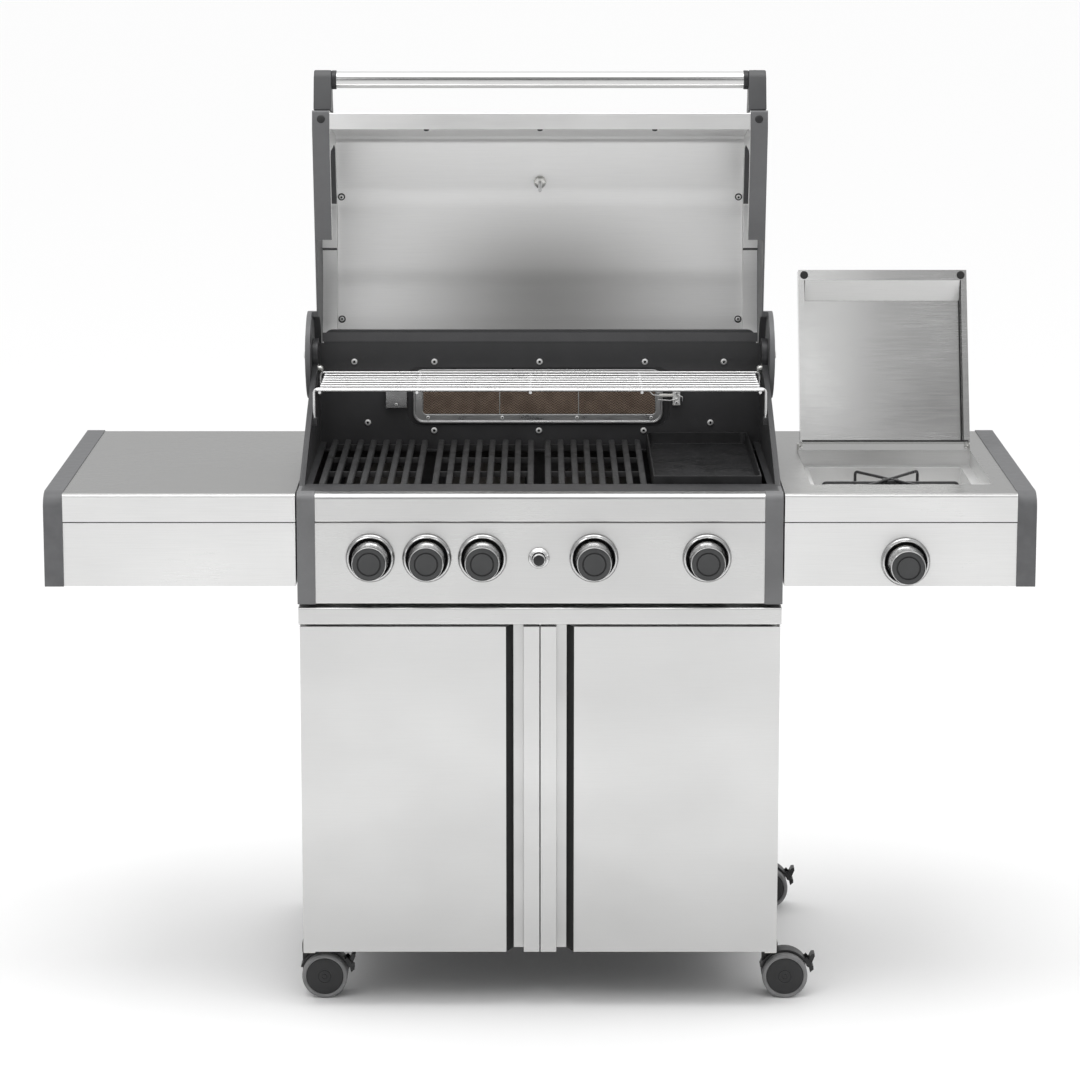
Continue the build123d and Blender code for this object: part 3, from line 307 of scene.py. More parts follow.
def ceramic_plaque(name):
    """Brown burner plaque: staggered rows of small dark holes in a waffled face."""
    finish = Finish(name, (0.14, 0.085, 0.055), 0.0, 0.85)
    split = finish.tree.nodes.new("ShaderNodeSeparateXYZ")
    finish.tree.links.new(finish.coordinates.outputs["Object"], split.inputs["Vector"])
    pitch = 4.6 * MM
    turn = 2 * math.pi / pitch
    across = finish.maths("SINE", finish.maths("MULTIPLY", split.outputs["X"], turn))
    sway = finish.maths("SINE", finish.maths("MULTIPLY", split.outputs["X"], turn / 2))
    zigzag = finish.maths("MULTIPLY", sway, 1.2)
    rows = finish.maths("ADD", finish.maths("MULTIPLY", split.outputs["Z"], turn), zigzag)
    waves = finish.maths("MULTIPLY", across, finish.maths("SINE", rows))
    holes = finish.spread(waves, 0, 1, -0.4, 0.7)
    scorch = finish.noise(18, (1, 1, 1), 4.0)
    clay = finish.mix(finish.spread(scorch, 0, 1), (0.19, 0.135, 0.10), (0.30, 0.22, 0.165))
    # The holes are painted near black, as painted shade inside them.
    finish.colour(finish.mix(holes, clay, (0.04, 0.028, 0.021)))
    finish.bump(finish.maths("MULTIPLY", holes, -1.0), 0.5)
    return finish.material


def lid_lining_steel(name, centre):
    """Brushed lining steel with a broad dark patch low in its middle, a painted reflection of the dark
    firebox.
    """
    colour = (0.88, 0.88, 0.875)
    finish = Finish(name, colour, 0.6, 0.40)
    streaks = grain(finish)
    streaked = finish.mix(finish.spread(streaks, 0, 1), shade(colour, 0.97), shade(colour, 1.02))
    painted_reflection = finish.maths("MULTIPLY", finish.patch(centre, (330, 500, 215)), 0.78)
    finish.colour(finish.mix(painted_reflection, streaked, (0.21, 0.208, 0.205)))
    finish.roughness(finish.spread(streaks, 0.36, 0.44))
    finish.bump(streaks, 0.004)
    return finish.material


def clear_glass(name):
    """Gauge glass with a very slight ripple."""
    finish = Finish(name, (0.95, 0.97, 0.97), 0.0, 0.03)
    finish.shader.inputs["Transmission Weight"].default_value = 1.0
    finish.bump(finish.noise(9, (1, 1, 1), 2.0), 0.004)
    return finish.material


STAINLESS = brushed_steel("stainless_brushed", (0.68, 0.68, 0.675), 0.33, 0.03)
# Lighter and darker copies of the brushed steel, as painted light and painted shade: lighter on the aprons,
# fascias and stiffener, darker on the table tops.
STAINLESS_APRON_LIT = brushed_steel("stainless_apron", (0.82, 0.82, 0.815), 0.36, 0.03, metallic=0.78)
STAINLESS_TOP_SHADED = brushed_steel("stainless_table_top", (0.40, 0.40, 0.395), 0.30, 0.03)
# A lighter, less metallic copy of the steel, as painted light on the hood's lip.
STAINLESS_LIP_LIT = brushed_steel("stainless_lid_lip", (0.78, 0.78, 0.775), 0.38, 0.02, 0.03, metallic=0.75)
# Painted shade on the doors: their colour darkens softly towards their bottom edge.
DOOR_PAINTED_SHADE = (at(0, 0, 90), (1500, 600, 330), 0.30)
STAINLESS_DOOR = brushed_steel("stainless_door", (0.72, 0.72, 0.715), 0.38, 0.02, 0.03, painted_shade=DOOR_PAINTED_SHADE)
# The lining's steel carries a painted reflection of the dark firebox: a dark patch around this point.
STAINLESS_LID = lid_lining_steel("stainless_lid_lining", at(8, 560, 1098))
# Painted light: a near-white, barely metallic copy of the lining steel for the lining's front wall.
LINING_FRONT_LIT = brushed_steel("stainless_lining_front", (0.95, 0.95, 0.945), 0.5, 0.01, 0.02, metallic=0.15)
STAINLESS_SIDE = brushed_steel("stainless_side_lid", (0.66, 0.66, 0.655), 0.22, 0.03, 0.03)
STAINLESS_TUBE = brushed_steel("stainless_handle_tube", (0.62, 0.62, 0.615), 0.22, 0.04, 0.05)
STAINLESS_PAN = brushed_steel("stainless_pan", (0.60, 0.60, 0.595), 0.28, 0.03, 0.05, relief=0.002)
# A lighter, less metallic copy of the pan steel, as painted light on the side burner's pan.
PAN_BRIGHT = brushed_steel(
    "stainless_burner_pan", (0.78, 0.78, 0.775), 0.34, 0.03, 0.05, metallic=0.7, relief=0.003,
)
FRAME_STEEL = polished("burner_frame_steel", (0.52, 0.52, 0.52), 0.30, relief=0.001)
STAINLESS_DARK = brushed_steel("stainless_heat_stained", (0.30, 0.28, 0.26), 0.42, 0.12, 0.20)
POST_GREY = painted("post_grey_paint", (0.140, 0.141, 0.144), 0.42)
CAP_GREY = moulded("cap_grey_plastic", (0.105, 0.106, 0.110), 0.48)
# One grey paint, in a lighter copy for the hood's castings and ear caps and a darker copy for the handle
# arms: painted light and painted shade.
CASTING_GREY_LIT = painted("casting_grey_paint", (0.125, 0.126, 0.130), 0.46, 1.1, 0.05)
ARM_GREY_SHADED = painted("handle_arm_grey_paint", (0.055, 0.056, 0.058), 0.46, 1.1, 0.05)
ENAMEL = painted("graphite_enamel", (0.045, 0.045, 0.047), 0.40, 0.7, 0.02)
# A lighter copy of the enamel, as painted light on the rear wall's ridge.
FOLD_GREY_LIT = painted("wall_fold_enamel", (0.085, 0.085, 0.088), 0.42, 0.7, 0.02)
ENAMEL_WIRE = painted("black_wire_enamel", (0.016, 0.016, 0.017), 0.30, 0.7, 0.02)
IRON = cast_surface("grill_cast_iron", (0.040, 0.040, 0.041), 0.62)
PLATE_IRON = cast_surface("hotplate_cast_iron", (0.016, 0.016, 0.017), 0.52, 0.06)
CHROME = polished("chrome_plate", (0.70, 0.70, 0.70), 0.12, relief=0.004)
WIRE_CHROME = polished("rack_chrome", (0.80, 0.80, 0.80), 0.28, metallic=0.8, relief=0.001)
SCREW_BRIGHT = polished("screw_zinc_plate", (0.90, 0.90, 0.89), 0.34, metallic=0.25, relief=0.004)
CHROME_SLOPE = polished("chrome_bezel_slope", (0.40, 0.40, 0.40), 0.22, relief=0.004)
ZINC = polished("zinc_plate", (0.62, 0.62, 0.60), 0.28)
BRASS = polished("valve_brass", (0.62, 0.47, 0.24), 0.30)
KNOB_DARK = moulded("knob_face_plastic", (0.042, 0.043, 0.044), 0.42)
PORCELAIN = moulded("igniter_porcelain", (0.70, 0.69, 0.66), 0.25)
BLACK_PLASTIC = moulded("black_plastic", (0.012, 0.012, 0.013), 0.42)
HUB_PLASTIC = moulded("caster_hub_plastic", (0.018, 0.018, 0.019), 0.46)
TREAD = moulded("caster_tread_rubber", (0.205, 0.205, 0.207), 0.62, 0.8, 0.05)
BLACK_RUBBER = moulded("black_rubber", (0.010, 0.010, 0.010), 0.70, 0.7, 0.05)
CERAMIC = ceramic_plaque("burner_plaque_ceramic")
DIAL_FACE = painted("dial_enamel", (0.72, 0.72, 0.70), 0.35, 0.8, 0.01)
SHADOW_GAP = painted("unlit_recess_paint", (0.010, 0.010, 0.010), 0.75)
GLASS = clear_glass("gauge_glass")


# ---------------------------------------------------------------- mesh helpers
def new_piece(name, mesh, body, material):
    """Link a mesh as a piece that moves with a body."""
    piece = bpy.data.objects.new(name, mesh)
    bpy.context.scene.collection.objects.link(piece)
    mesh.materials.clear()
    mesh.materials.append(material)
    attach(piece, body)
    return piece


def built(bm, name, body, material):
    """Turn a bmesh into a piece that moves with a body."""
    mesh = bpy.data.meshes.new(name)
    bm.to_mesh(mesh)
    bm.free()
    return new_piece(name, mesh, body, material)


def settled(holder):
    """The mesh of an object after its modifiers or its curve settings."""
    return bpy.data.meshes.new_from_object(holder.evaluated_get(bpy.context.evaluated_depsgraph_get()))


def mesh_of(name, curve):
    """The mesh of a curve or a text."""
    holder = bpy.data.objects.new(name, curve)
    bpy.context.scene.collection.objects.link(holder)
    mesh = settled(holder)
    bpy.data.objects.remove(holder)
    return mesh


def rounded(piece, width, segments=2, angle=38.0):
    """Round the piece's sharp edges by width millimetres and keep its flat faces flat."""
    for face in piece.data.polygons:
        face.use_smooth = True
    bevel = piece.modifiers.new("edge_rounding", "BEVEL")
    bevel.width = width * MM
    bevel.segments = segments
    bevel.limit_method = "ANGLE"
    bevel.angle_limit = math.radians(angle)
    bevel.use_clamp_overlap = True
    weighted = piece.modifiers.new("flat_faces", "WEIGHTED_NORMAL")
    weighted.keep_sharp = False
    weighted.weight = 80
    mesh = settled(piece)
    piece.modifiers.clear()
    piece.data = mesh
    return piece


def finished(node, material, width=0.5, segments=2, angle=38.0):
    """A copy of a CAD piece with softened edges, standing for the node."""
    mesh = NODES[node].data.copy()
    bm = bmesh.new()
    bm.from_mesh(mesh)
    bmesh.ops.remove_doubles(bm, verts=bm.verts, dist=WELD)
    bmesh.ops.dissolve_limit(bm, angle_limit=FLAT, verts=bm.verts, edges=bm.edges)
    bm.to_mesh(mesh)
    bm.free()
    piece = new_piece(f"{node}_finished", mesh, BODY_OF[node], material)
    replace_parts(piece, node)
    return rounded(piece, width, segments, angle)


def repaint(piece, material, chosen):
    """Give the faces that chosen(centre, normal) picks another material."""
    piece.data.materials.append(material)
    slot = len(piece.data.materials) - 1
    for face in piece.data.polygons:
        if chosen(face.center, face.normal):
            face.material_index = slot


def turned(name, body, material, centre, axis, profile, steps=72, angle=30.0):
    """A turned piece: profile is a list of (radius, height along axis) in millimetres."""
    bm = bmesh.new()
    add_turned(bm, centre, axis, profile, steps)
    piece = built(bm, name, body, material)
    smooth_by_angle(piece, angle)
    return piece


def smooth_by_angle(piece, angle):
    """Shade the piece smooth, with sharp edges where faces meet at more than this angle."""
    for face in piece.data.polygons:
        face.use_smooth = True
    piece.data.set_sharp_from_angle(angle=math.radians(angle))


def add_turned(bm, centre, axis, profile, steps, hex_rings=()):
    """Add a turned shape to a mesh. Rings listed in hex_rings are hexagonal instead of round."""
    aim = Vector(axis).normalized().to_track_quat("Z", "Y").to_matrix()
    rings = []
    for index, (radius, height) in enumerate(profile):
        if radius < 1e-6:
            spot = Vector(centre) + aim @ Vector((0, 0, height * MM))
            rings.append([bm.verts.new(spot)])
            continue
        ring = []
        for step in range(steps):
            turn = 2 * math.pi * step / steps
            reach = radius
            if index in hex_rings:
                reach = radius / math.cos((turn % (math.pi / 3)) - math.pi / 6)
            local = Vector((reach * math.cos(turn), reach * math.sin(turn), height)) * MM
            ring.append(bm.verts.new(Vector(centre) + aim @ local))
        rings.append(ring)
    for lower, upper in zip(rings, rings[1:]):
        for step in range(steps):
            after = (step + 1) % steps
            if len(lower) == 1 and len(upper) > 1:
                bm.faces.new((lower[0], upper[step], upper[after]))
            elif len(upper) == 1 and len(lower) > 1:
                bm.faces.new((lower[step], upper[0], lower[after]))
            elif len(lower) > 1:
                bm.faces.new((lower[step], upper[step], upper[after], lower[after]))
    bmesh.ops.recalc_face_normals(bm, faces=bm.faces)


def screws(name, body, places, radius=5.0, height=2.8, material=SCREW_BRIGHT):
    """Pan-head screws with a hexagon socket: places is a list of (head's seat, outward direction)."""
    bm = bmesh.new()
    profile = [
        (0, -0.4), (radius, -0.4), (radius, height * 0.3), (radius * 0.95, height * 0.62),
        (radius * 0.78, height * 0.9), (radius * 0.55, height), (radius * 0.42, height),
        (radius * 0.38, height * 0.35), (0, height * 0.3),
    ]
    for seat, outward in places:
        add_turned(bm, seat, outward, profile, 24, (6, 7))
    piece = built(bm, name, body, material)
    smooth_by_angle(piece, 40)

    def in_socket(centre, normal):
        for seat, outward in places:
            offset = centre - seat
            if (offset - outward * offset.dot(outward)).length < radius * 0.46 * MM:
                return True
        return False

    repaint(piece, SHADOW_GAP, in_socket)
    return piece


def wires(name, body, material, routes, radius, bend=0.0, resolution=6):
    """Round wires along routes of points in metres, with corners bent to a radius in millimetres."""
    curve = bpy.data.curves.new(name, "CURVE")
    curve.dimensions = "3D"
    curve.bevel_depth = radius * MM
    curve.bevel_resolution = resolution
    curve.use_fill_caps = True
    for route in routes:
        points = bent(route, bend * MM) if bend else route
        spline = curve.splines.new("POLY")
        spline.points.add(len(points) - 1)
        for point, place in zip(spline.points, points):
            point.co = (*place, 1.0)
    piece = new_piece(name, mesh_of(name, curve), body, material)
    smooth_by_angle(piece, 50)
    return piece


def bent(route, radius, steps=8):
    """The route with its corners replaced by arcs."""
    route = [Vector(p) for p in route]
    points = [route[0]]
    for before, corner, after in zip(route, route[1:], route[2:]):
        into = (before - corner).normalized()
        out = (after - corner).normalized()
        half = into.angle(out) / 2
        room = min((before - corner).length, (after - corner).length) * 0.49
        cut = min(radius / math.tan(half), room)
        reach = cut * math.tan(half)
        centre = corner + (into + out).normalized() * (reach / math.sin(half))
        start = (corner + into * cut - centre).normalized()
        stop = (corner + out * cut - centre).normalized()
        for step in range(steps + 1):
            points.append(centre + start.slerp(stop, step / steps) * reach)
    points.append(route[-1])
    return points


def plate(name, body, material, low, high, width):
    """A flat piece that fills the box between two corners, with rounded edges."""
    bm = bmesh.new()
    bmesh.ops.create_cube(bm, size=1.0)
    for vertex in bm.verts:
        for i in range(3):
            vertex.co[i] = low[i] if vertex.co[i] < 0 else high[i]
    return rounded(built(bm, name, body, material), width, 3)


# ---------------------------------------------------------------- cabinet, head and tables
finished("cabinet_shell", STAINLESS, 0.5)
floor_tray = finished("cabinet_floor", POST_GREY, 0.4)
cabinet_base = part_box("cabinet_shell")[0].z
repaint(floor_tray, ZINC, lambda centre, normal: centre.z < cabinet_base - 0.2 * MM)
finished("cabinet_rail", STAINLESS, 0.5)
finished("front_shelf", STAINLESS, 0.5)
finished("control_panel", STAINLESS, 0.5)
# The table tops' upward faces get the darker copy, as painted shade, and their aprons the lighter copy, as
# painted light.
table_tops = finished("table_tops", STAINLESS_APRON_LIT, 0.6)
repaint(table_tops, STAINLESS_TOP_SHADED, lambda centre, normal: normal.z > 0.7)
finished("table_fascias", STAINLESS_APRON_LIT, 0.6)
finished("body_sides", POST_GREY, 1.2)
finished("end_caps", CAP_GREY, 2.2, 3)
finished("firebox", ENAMEL, 0.9)
finished("hotplate", PLATE_IRON, 1.6, 3)
for grill in ("cooking_grill_left", "cooking_grill_middle", "cooking_grill_right"):
    finished(grill, IRON, 0.9)
finished("flame_tamers", STAINLESS_DARK, 0.3)
finished("drip_tray", STAINLESS_PAN, 0.5)
finished("gas_burners", STAINLESS_DARK, 0.6)
finished("gas_rail", BRASS, 0.6)
finished("hinge_pins", ZINC, 0.4)

CHANNEL_SLOPE = (0.0445, 0.0535)      # metres from the middle, where each finger channel slopes


def on_channel_slope(centre, normal):
    """The sloping face beside a door's finger channel, which is always in shade."""
    inside, outside = CHANNEL_SLOPE
    return inside < abs(centre.x) < outside and abs(normal.z) < 0.5 and normal.y < 0.2


for door in ("door_left", "door_right"):
    repaint(finished(door, STAINLESS_DOOR, 0.7), SHADOW_GAP, on_channel_slope)

# A dark strip fills the joint between each table's apron and the fascia below it, as painted shade.
for side, start, stop in (("left", -775.0, -391.0), ("right", 391.0, 775.0)):
    plate(f"fascia_shadow_strip_{side}", "cart", BLACK_RUBBER, at(start, 0.9, 811.4), at(stop, 3.2, 812.9), 0.3)

# Screws on the back of the cabinet, down both edges and along the bottom.
BACK_EDGE_X = 0.374
BACK_BOTTOM_Z = 0.108
shell_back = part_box("cabinet_shell")[1].y
back_places = []
for height in (0.14, 0.33, 0.52, 0.655):
    for x in (-BACK_EDGE_X, BACK_EDGE_X):
        back_places.append((Vector((x, shell_back, height)), -FRONT))
for x in (-0.19, 0.0, 0.19):
    back_places.append((Vector((x, shell_back, BACK_BOTTOM_Z)), -FRONT))
screws("cabinet_back_screws", "cart", back_places, 3.6, 2.0)

# ---------------------------------------------------------------- knobs, bezels and igniter
# Profiles are (radius, distance in front of FRONT_Y) in millimetres.
SKIRT = [
    (0, 35), (4.3, 35), (4.3, 13), (8, 13), (8, 38), (25, 38), (25, 8.2), (29.9, 8.2), (30.4, 8.7),
    (30.5, 9.6), (30.2, 12.5), (29.3, 18), (28.6, 25), (28.1, 31), (27.8, 37), (27.7, 43), (27.6, 45.4),
    (27.2, 46.7), (26.7, 47.1), (26.3, 46.6), (26.2, 44.5), (0, 44.5),
]
FACE = [
    (0, 44.7), (26.0, 44.7), (26.0, 46.2), (25.6, 46.9), (24.8, 47.2), (19.5, 47.2), (19.2, 46.6),
    (18.9, 45.6), (17.5, 45.6), (17.2, 46.6), (16.9, 47.2), (12, 47.0), (6, 46.9), (0, 46.85),
]
BEZEL = [
    (33.8, -1.9), (33.8, 6.3), (34.5, 7.2), (35.6, 7.5), (36.6, 7.0), (37.1, 5.6), (37.6, 4.5), (38.5, 3.9),
    (39.2, 2.8), (39.5, 1.2), (39.5, -1.9), (33.8, -1.9),
]
SHROUD = [
    (7.6, -1.9), (33.6, -1.9), (33.6, 5.6), (32.4, 4.4), (31.2, 0.5), (29.0, -1.0), (7.6, -1.2), (7.6, -1.9),
]
IGNITER_RING = [
    (11.3, -1.9), (11.3, 8.4), (11.7, 9.0), (12.4, 9.1), (12.9, 8.6), (13.1, 4.6), (13.7, 3.9), (15.2, 3.2),
    (16.6, 2.0), (17.4, 0.2), (17.5, -1.9), (11.3, -1.9),
]
IGNITER_CAP = [
    (0, -30), (5.6, -30), (6, -29.4), (6, 4), (10.2, 4), (10.5, 4.4), (10.5, 15.6), (10.1, 17.0), (9.0, 18.0),
    (7.4, 18.6), (4, 18.9), (0, 18.95),
]
GROOVE = (0.0171, 0.0193)        # metres from a knob's axis, where its face is grooved
BEZEL_SLOPE = 0.0366             # metres from a knob's axis, outside which its bezel slopes
CAP_RIM = 0.0088                 # metres from the igniter's axis, outside which its cap is bright


def groove_of(seat):
    """Picks the faces of the groove turned in a knob's face."""
    return lambda spot, normal: GROOVE[0] < (spot - seat).xz.length < GROOVE[1]


for node in sorted(NODES):
    if node.startswith("valve_stem_"):
        finished(node, BRASS, 0.3)
    if not node.startswith("knob_") or node == "knob_bezels":
        continue
    suffix = node[len("knob_"):]
    centre = middle(node)
    seat = Vector((centre.x, FRONT_Y, centre.z))
    skirt = turned(f"{node}_skirt", BODY_OF[node], CHROME, seat, FRONT, SKIRT, 96, 32)
    face = turned(f"{node}_face", BODY_OF[node], KNOB_DARK, seat, FRONT, FACE, 96, 25)
    # The groove is painted near black, as painted shade in it.
    repaint(face, BLACK_PLASTIC, groove_of(seat))
    for piece in (skirt, face):
        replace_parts(piece, node)
    bezel = turned(f"bezel_{suffix}", "cart", CHROME, seat, FRONT, BEZEL, 96, 40)
    # The bezel's outer slope gets a darker copy of the chrome, as painted shade.
    repaint(bezel, CHROME_SLOPE, lambda spot, normal: (spot - seat).xz.length > BEZEL_SLOPE)
    shroud = turned(f"bezel_shroud_{suffix}", "cart", BLACK_PLASTIC, seat, FRONT, SHROUD, 96, 40)
    for piece in (bezel, shroud):
        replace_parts(piece, "knob_bezels")

button_centre = middle("igniter_button")
button_seat = Vector((button_centre.x, FRONT_Y, button_centre.z))
ring = turned("igniter_ring", "cart", CHROME, button_seat, FRONT, IGNITER_RING, 72, 40)
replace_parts(ring, "knob_bezels")
button = turned(
    "igniter_cap", BODY_OF["igniter_button"], BLACK_PLASTIC, button_seat, FRONT, IGNITER_CAP, 72, 30,
)
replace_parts(button, "igniter_button")
repaint(button, CHROME, lambda spot, normal: (spot - button_seat).xz.length > CAP_RIM)

# ---------------------------------------------------------------- firebox details
WALL_HEAD = 0.008                # metres: wider screw heads hold the wall, narrower ones the burner
wall_places = []
frame_places = []
for low, high in islands("wall_screws"):
    seat = Vector(((low.x + high.x) / 2, high.y, (low.z + high.z) / 2))
    places = wall_places if high.x - low.x > WALL_HEAD else frame_places
    places.append((seat, FRONT))
wall_heads = screws("firebox_wall_screws", "cart", wall_places, 5.4, 2.9)
frame_heads = screws("burner_frame_screws", "cart", frame_places, 3.2, 2.3)
for piece in (wall_heads, frame_heads):
    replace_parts(piece, "wall_screws")

finished("rear_burner_frame", FRAME_STEEL, 1.2, 3)
finished("rear_burner_tiles", CERAMIC, 0.6)

# A plate behind the rear burner, with screws near its top and bottom edges.
frame_low, frame_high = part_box("rear_burner_frame")
plate_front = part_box("rear_burner_tiles")[1].y + 0.0003
plate_back = plate_front + 0.003
plate("rear_burner_back", "cart", STAINLESS_PAN, Vector((frame_low.x, plate_front, frame_low.z)),
      Vector((frame_high.x, plate_back, frame_high.z)), 1.4)
burner_columns = (frame_low.x + 0.012, (frame_low.x + frame_high.x) / 2, frame_high.x - 0.012)
burner_rows = (frame_low.z + 0.01, frame_high.z - 0.01)
burner_places = [(Vector((x, plate_back, z)), -FRONT) for x in burner_columns for z in burner_rows]
screws("burner_back_screws", "cart", burner_places, 3.4, 2.0)

# The cover over the burner's gas feed.
plate("feed_cover", "cart", CHROME_SLOPE, at(-268, 476, 914), at(-230, 489.9, 950), 1.6)
screws("feed_cover_screw", "cart", [(at(-249, 476, 921), FRONT)], 2.6, 1.8)

# The rear wall's folded top edge, in a lighter copy of the enamel: painted light on the ridge.
fold, _ = surface("firebox", at(0, 300, 1036), -FRONT)
plate("wall_fold", "cart", FOLD_GREY_LIT, Vector((-0.376, fold.y - 0.0008, at(0, 0, 1029).z)),
      Vector((0.376, fold.y + 0.001, at(0, 0, 1045).z)), 0.4)

# The igniter beside the rear burner: a bracket, a ceramic body with its electrode, and two wires.
plate("electrode_bracket", "cart", SCREW_BRIGHT, at(230, 479, 919), at(243, 489.9, 946), 1.0)
screws("electrode_screws", "cart", [(at(236.5, 479, 924), FRONT), (at(236.5, 479, 941), FRONT)], 2.8, 2.0)
ELECTRODE = [
    (0, -6), (2.2, -6), (3.0, -4), (3.2, 8), (2.6, 10), (3.2, 12), (2.6, 14), (3.2, 16), (2.6, 18), (0, 18.5),
]
turned("electrode_body", "cart", PORCELAIN, at(212, 482, 936), Vector((1, 0, 0)), ELECTRODE, 32)
wires("electrode_wires", "cart", SCREW_BRIGHT,
      [[at(206, 482, 936), at(196, 481, 937), at(188, 483, 945)],
       [at(229, 482, 936), at(240, 478, 937), at(247, 478, 934), at(247, 484, 926)],
       [at(205, 479, 929), at(225, 477, 928), at(238, 477, 931)]], 0.9, 2.5)

# Dome nuts on the inner faces of the cheeks.
CHEEK_X = 381.1
DOME_NUT = [
    (0, -0.6), (8.5, -0.6), (8.5, 0.9), (6.4, 1.1), (6.4, 4.4), (6.0, 5.6), (4.9, 7.8), (3.0, 9.4), (0, 10),
]
for side, name in ((-1, "left"), (1, "right")):
    seat = at(side * CHEEK_X, 440, 990)
    turned(f"cheek_nut_{name}", "cart", ZINC, seat, Vector((-side, 0, 0)), DOME_NUT, 48, 40)

# ---------------------------------------------------------------- wires and burners
RACK_RODS = ((253, 372.5), (292, 368), (315, 368), (338, 368), (361, 368), (384, 368), (410, 368))
RACK_LEGS = ((268.0, 926.0), (436.0, 950.0))
RACK_Z = 984.0
RACK_LEG_X = 377.3
TIE_Z = RACK_Z - 3.4
rack_routes = [[at(-half, depth, RACK_Z), at(half, depth, RACK_Z)] for depth, half in RACK_RODS]
for depth, foot in RACK_LEGS:
    rack_routes.append([
        at(-RACK_LEG_X, depth, foot + 0.2), at(-RACK_LEG_X, depth, RACK_Z),
        at(RACK_LEG_X, depth, RACK_Z), at(RACK_LEG_X, depth, foot + 0.2),
    ])
rack = wires("rack_bars", "warming_rack", WIRE_CHROME, rack_routes, 2.2, 7.0)
tie_routes = [[at(x, 251.2, TIE_Z), at(x, 441.8, TIE_Z)] for x in (-367, -205, -16, 170, 367)]
ties = wires("rack_ties", "warming_rack", WIRE_CHROME, tie_routes, 2.5)
for piece in (rack, ties):
    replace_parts(piece, "warming_rack")

TRIVET_X = 584.0
TRIVET_DEPTH = 232.0
TRIVET_FOOT_Z = 795.4


def trivet_wire(start, stop, top):
    """A wire that stands on two feet, given as (x, depth), and runs level between them at the top."""
    return [at(*start, TRIVET_FOOT_Z), at(*start, top), at(*stop, top), at(*stop, TRIVET_FOOT_Z)]


trivet_routes = []
for slope, top in ((-1, 838.0), (1, 837.0)):
    feet = [(TRIVET_X - slope * end * 52.5, TRIVET_DEPTH + end * 70.0) for end in (-1, 1)]
    trivet_routes.append(trivet_wire(*feet, top))
trivet_routes.append(
    trivet_wire((TRIVET_X - 112.5, TRIVET_DEPTH), (TRIVET_X + 112.5, TRIVET_DEPTH), 831.5)
)
stand = wires("trivet_wires", "trivet", ENAMEL_WIRE, trivet_routes, 2.5, 6.0)
TRIVET_HUB = [
    (5, 830.6), (13.4, 830.6), (14, 831.2), (14, 836.8), (13.2, 837.8), (6, 837.8), (5, 837), (5, 830.6),
]
hub = turned("trivet_hub", "trivet", ENAMEL_WIRE, at(TRIVET_X, TRIVET_DEPTH, 0), UP, TRIVET_HUB, 48, 40)
for piece in (stand, hub):
    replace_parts(piece, "trivet")

BURNER_X = 586.5
BURNER_DEPTH = 229.0
BURNER_CAP = [
    (0, 822.8), (33.9, 822.8), (34.4, 823.3), (34.0, 824.4), (31.5, 825.6), (24, 826.6), (0, 827.2),
]
turned("side_burner_cap", "cart", ENAMEL, at(BURNER_X, BURNER_DEPTH, 0), UP, BURNER_CAP, 72, 40)
CROWN_PORTS = 36
crown = bmesh.new()
for port in range(CROWN_PORTS):
    turn = 2 * math.pi * port / CROWN_PORTS
    spoke = Vector((math.cos(turn), math.sin(turn), 0))
    root = at(BURNER_X, BURNER_DEPTH, 815) + spoke * 0.0248
    add_turned(crown, root, spoke, [(0, 0), (0.8, 0), (0.8, 4.4), (0.6, 5.0), (0, 5.0)], 8)
smooth_by_angle(built(crown, "side_burner_crown", "cart", BRASS), 50)
BURNER_FLANGE = [
    (30.1, 795.3), (40, 795.3), (40, 796.3), (38.5, 797), (33, 797.2), (31, 799), (30.1, 800), (30.1, 795.3),
]
turned("side_burner_flange", "cart", ZINC, at(BURNER_X, BURNER_DEPTH, 0), UP, BURNER_FLANGE, 72, 40)

# ---------------------------------------------------------------- main lid
skin = finished("hood_outer_skin", STAINLESS, 0.4)
# The skin's faces that look down along the lid get the lighter copy, as painted light on the lip.
repaint(skin, STAINLESS_LIP_LIT, lambda centre, normal: normal.dot(-HOOD.up) > 0.9)
lining = finished("hood_inner_skin", STAINLESS_LID, 0.4)
# The lining's forward-looking faces get the lighter copy, as painted light.
repaint(lining, LINING_FRONT_LIT, lambda centre, normal: normal.dot(-HOOD.forward) > 0.75)
castings = finished("hood_castings", CASTING_GREY_LIT, 1.5)


LINING_BAND = (1.03, 1.285)      # metres above the floor, the stretch of the castings beside the lining
CASTING_INSIDE = 0.357           # metres from the middle to just past the castings' inner faces
CASTING_FACE = (0.350, 0.379)    # metres from the middle, the castings' faces that look forward
CASTING_BACK = 0.2               # metres behind the origin, where those faces start


def painted_light_beside_lining(centre, normal):
    """The castings' inner and forward faces next to the lining, given the lining's steel as painted light on
    faces that stand in shade.
    """
    aside = abs(centre.x)
    inward = aside < CASTING_INSIDE and normal.x * centre.x < 0 and abs(normal.x) > 0.8
    forward = CASTING_FACE[0] < aside < CASTING_FACE[1] and normal.y < -0.85 and centre.y > CASTING_BACK
    return LINING_BAND[0] < centre.z < LINING_BAND[1] and (inward or forward)


# Painted light: these shaded faces of the castings get the light lining steel.
repaint(castings, STAINLESS_LID, painted_light_beside_lining)
finished("handle_arms", ARM_GREY_SHADED, 2.5, 3)
finished("handle_tube", STAINLESS_TUBE, 0.5)

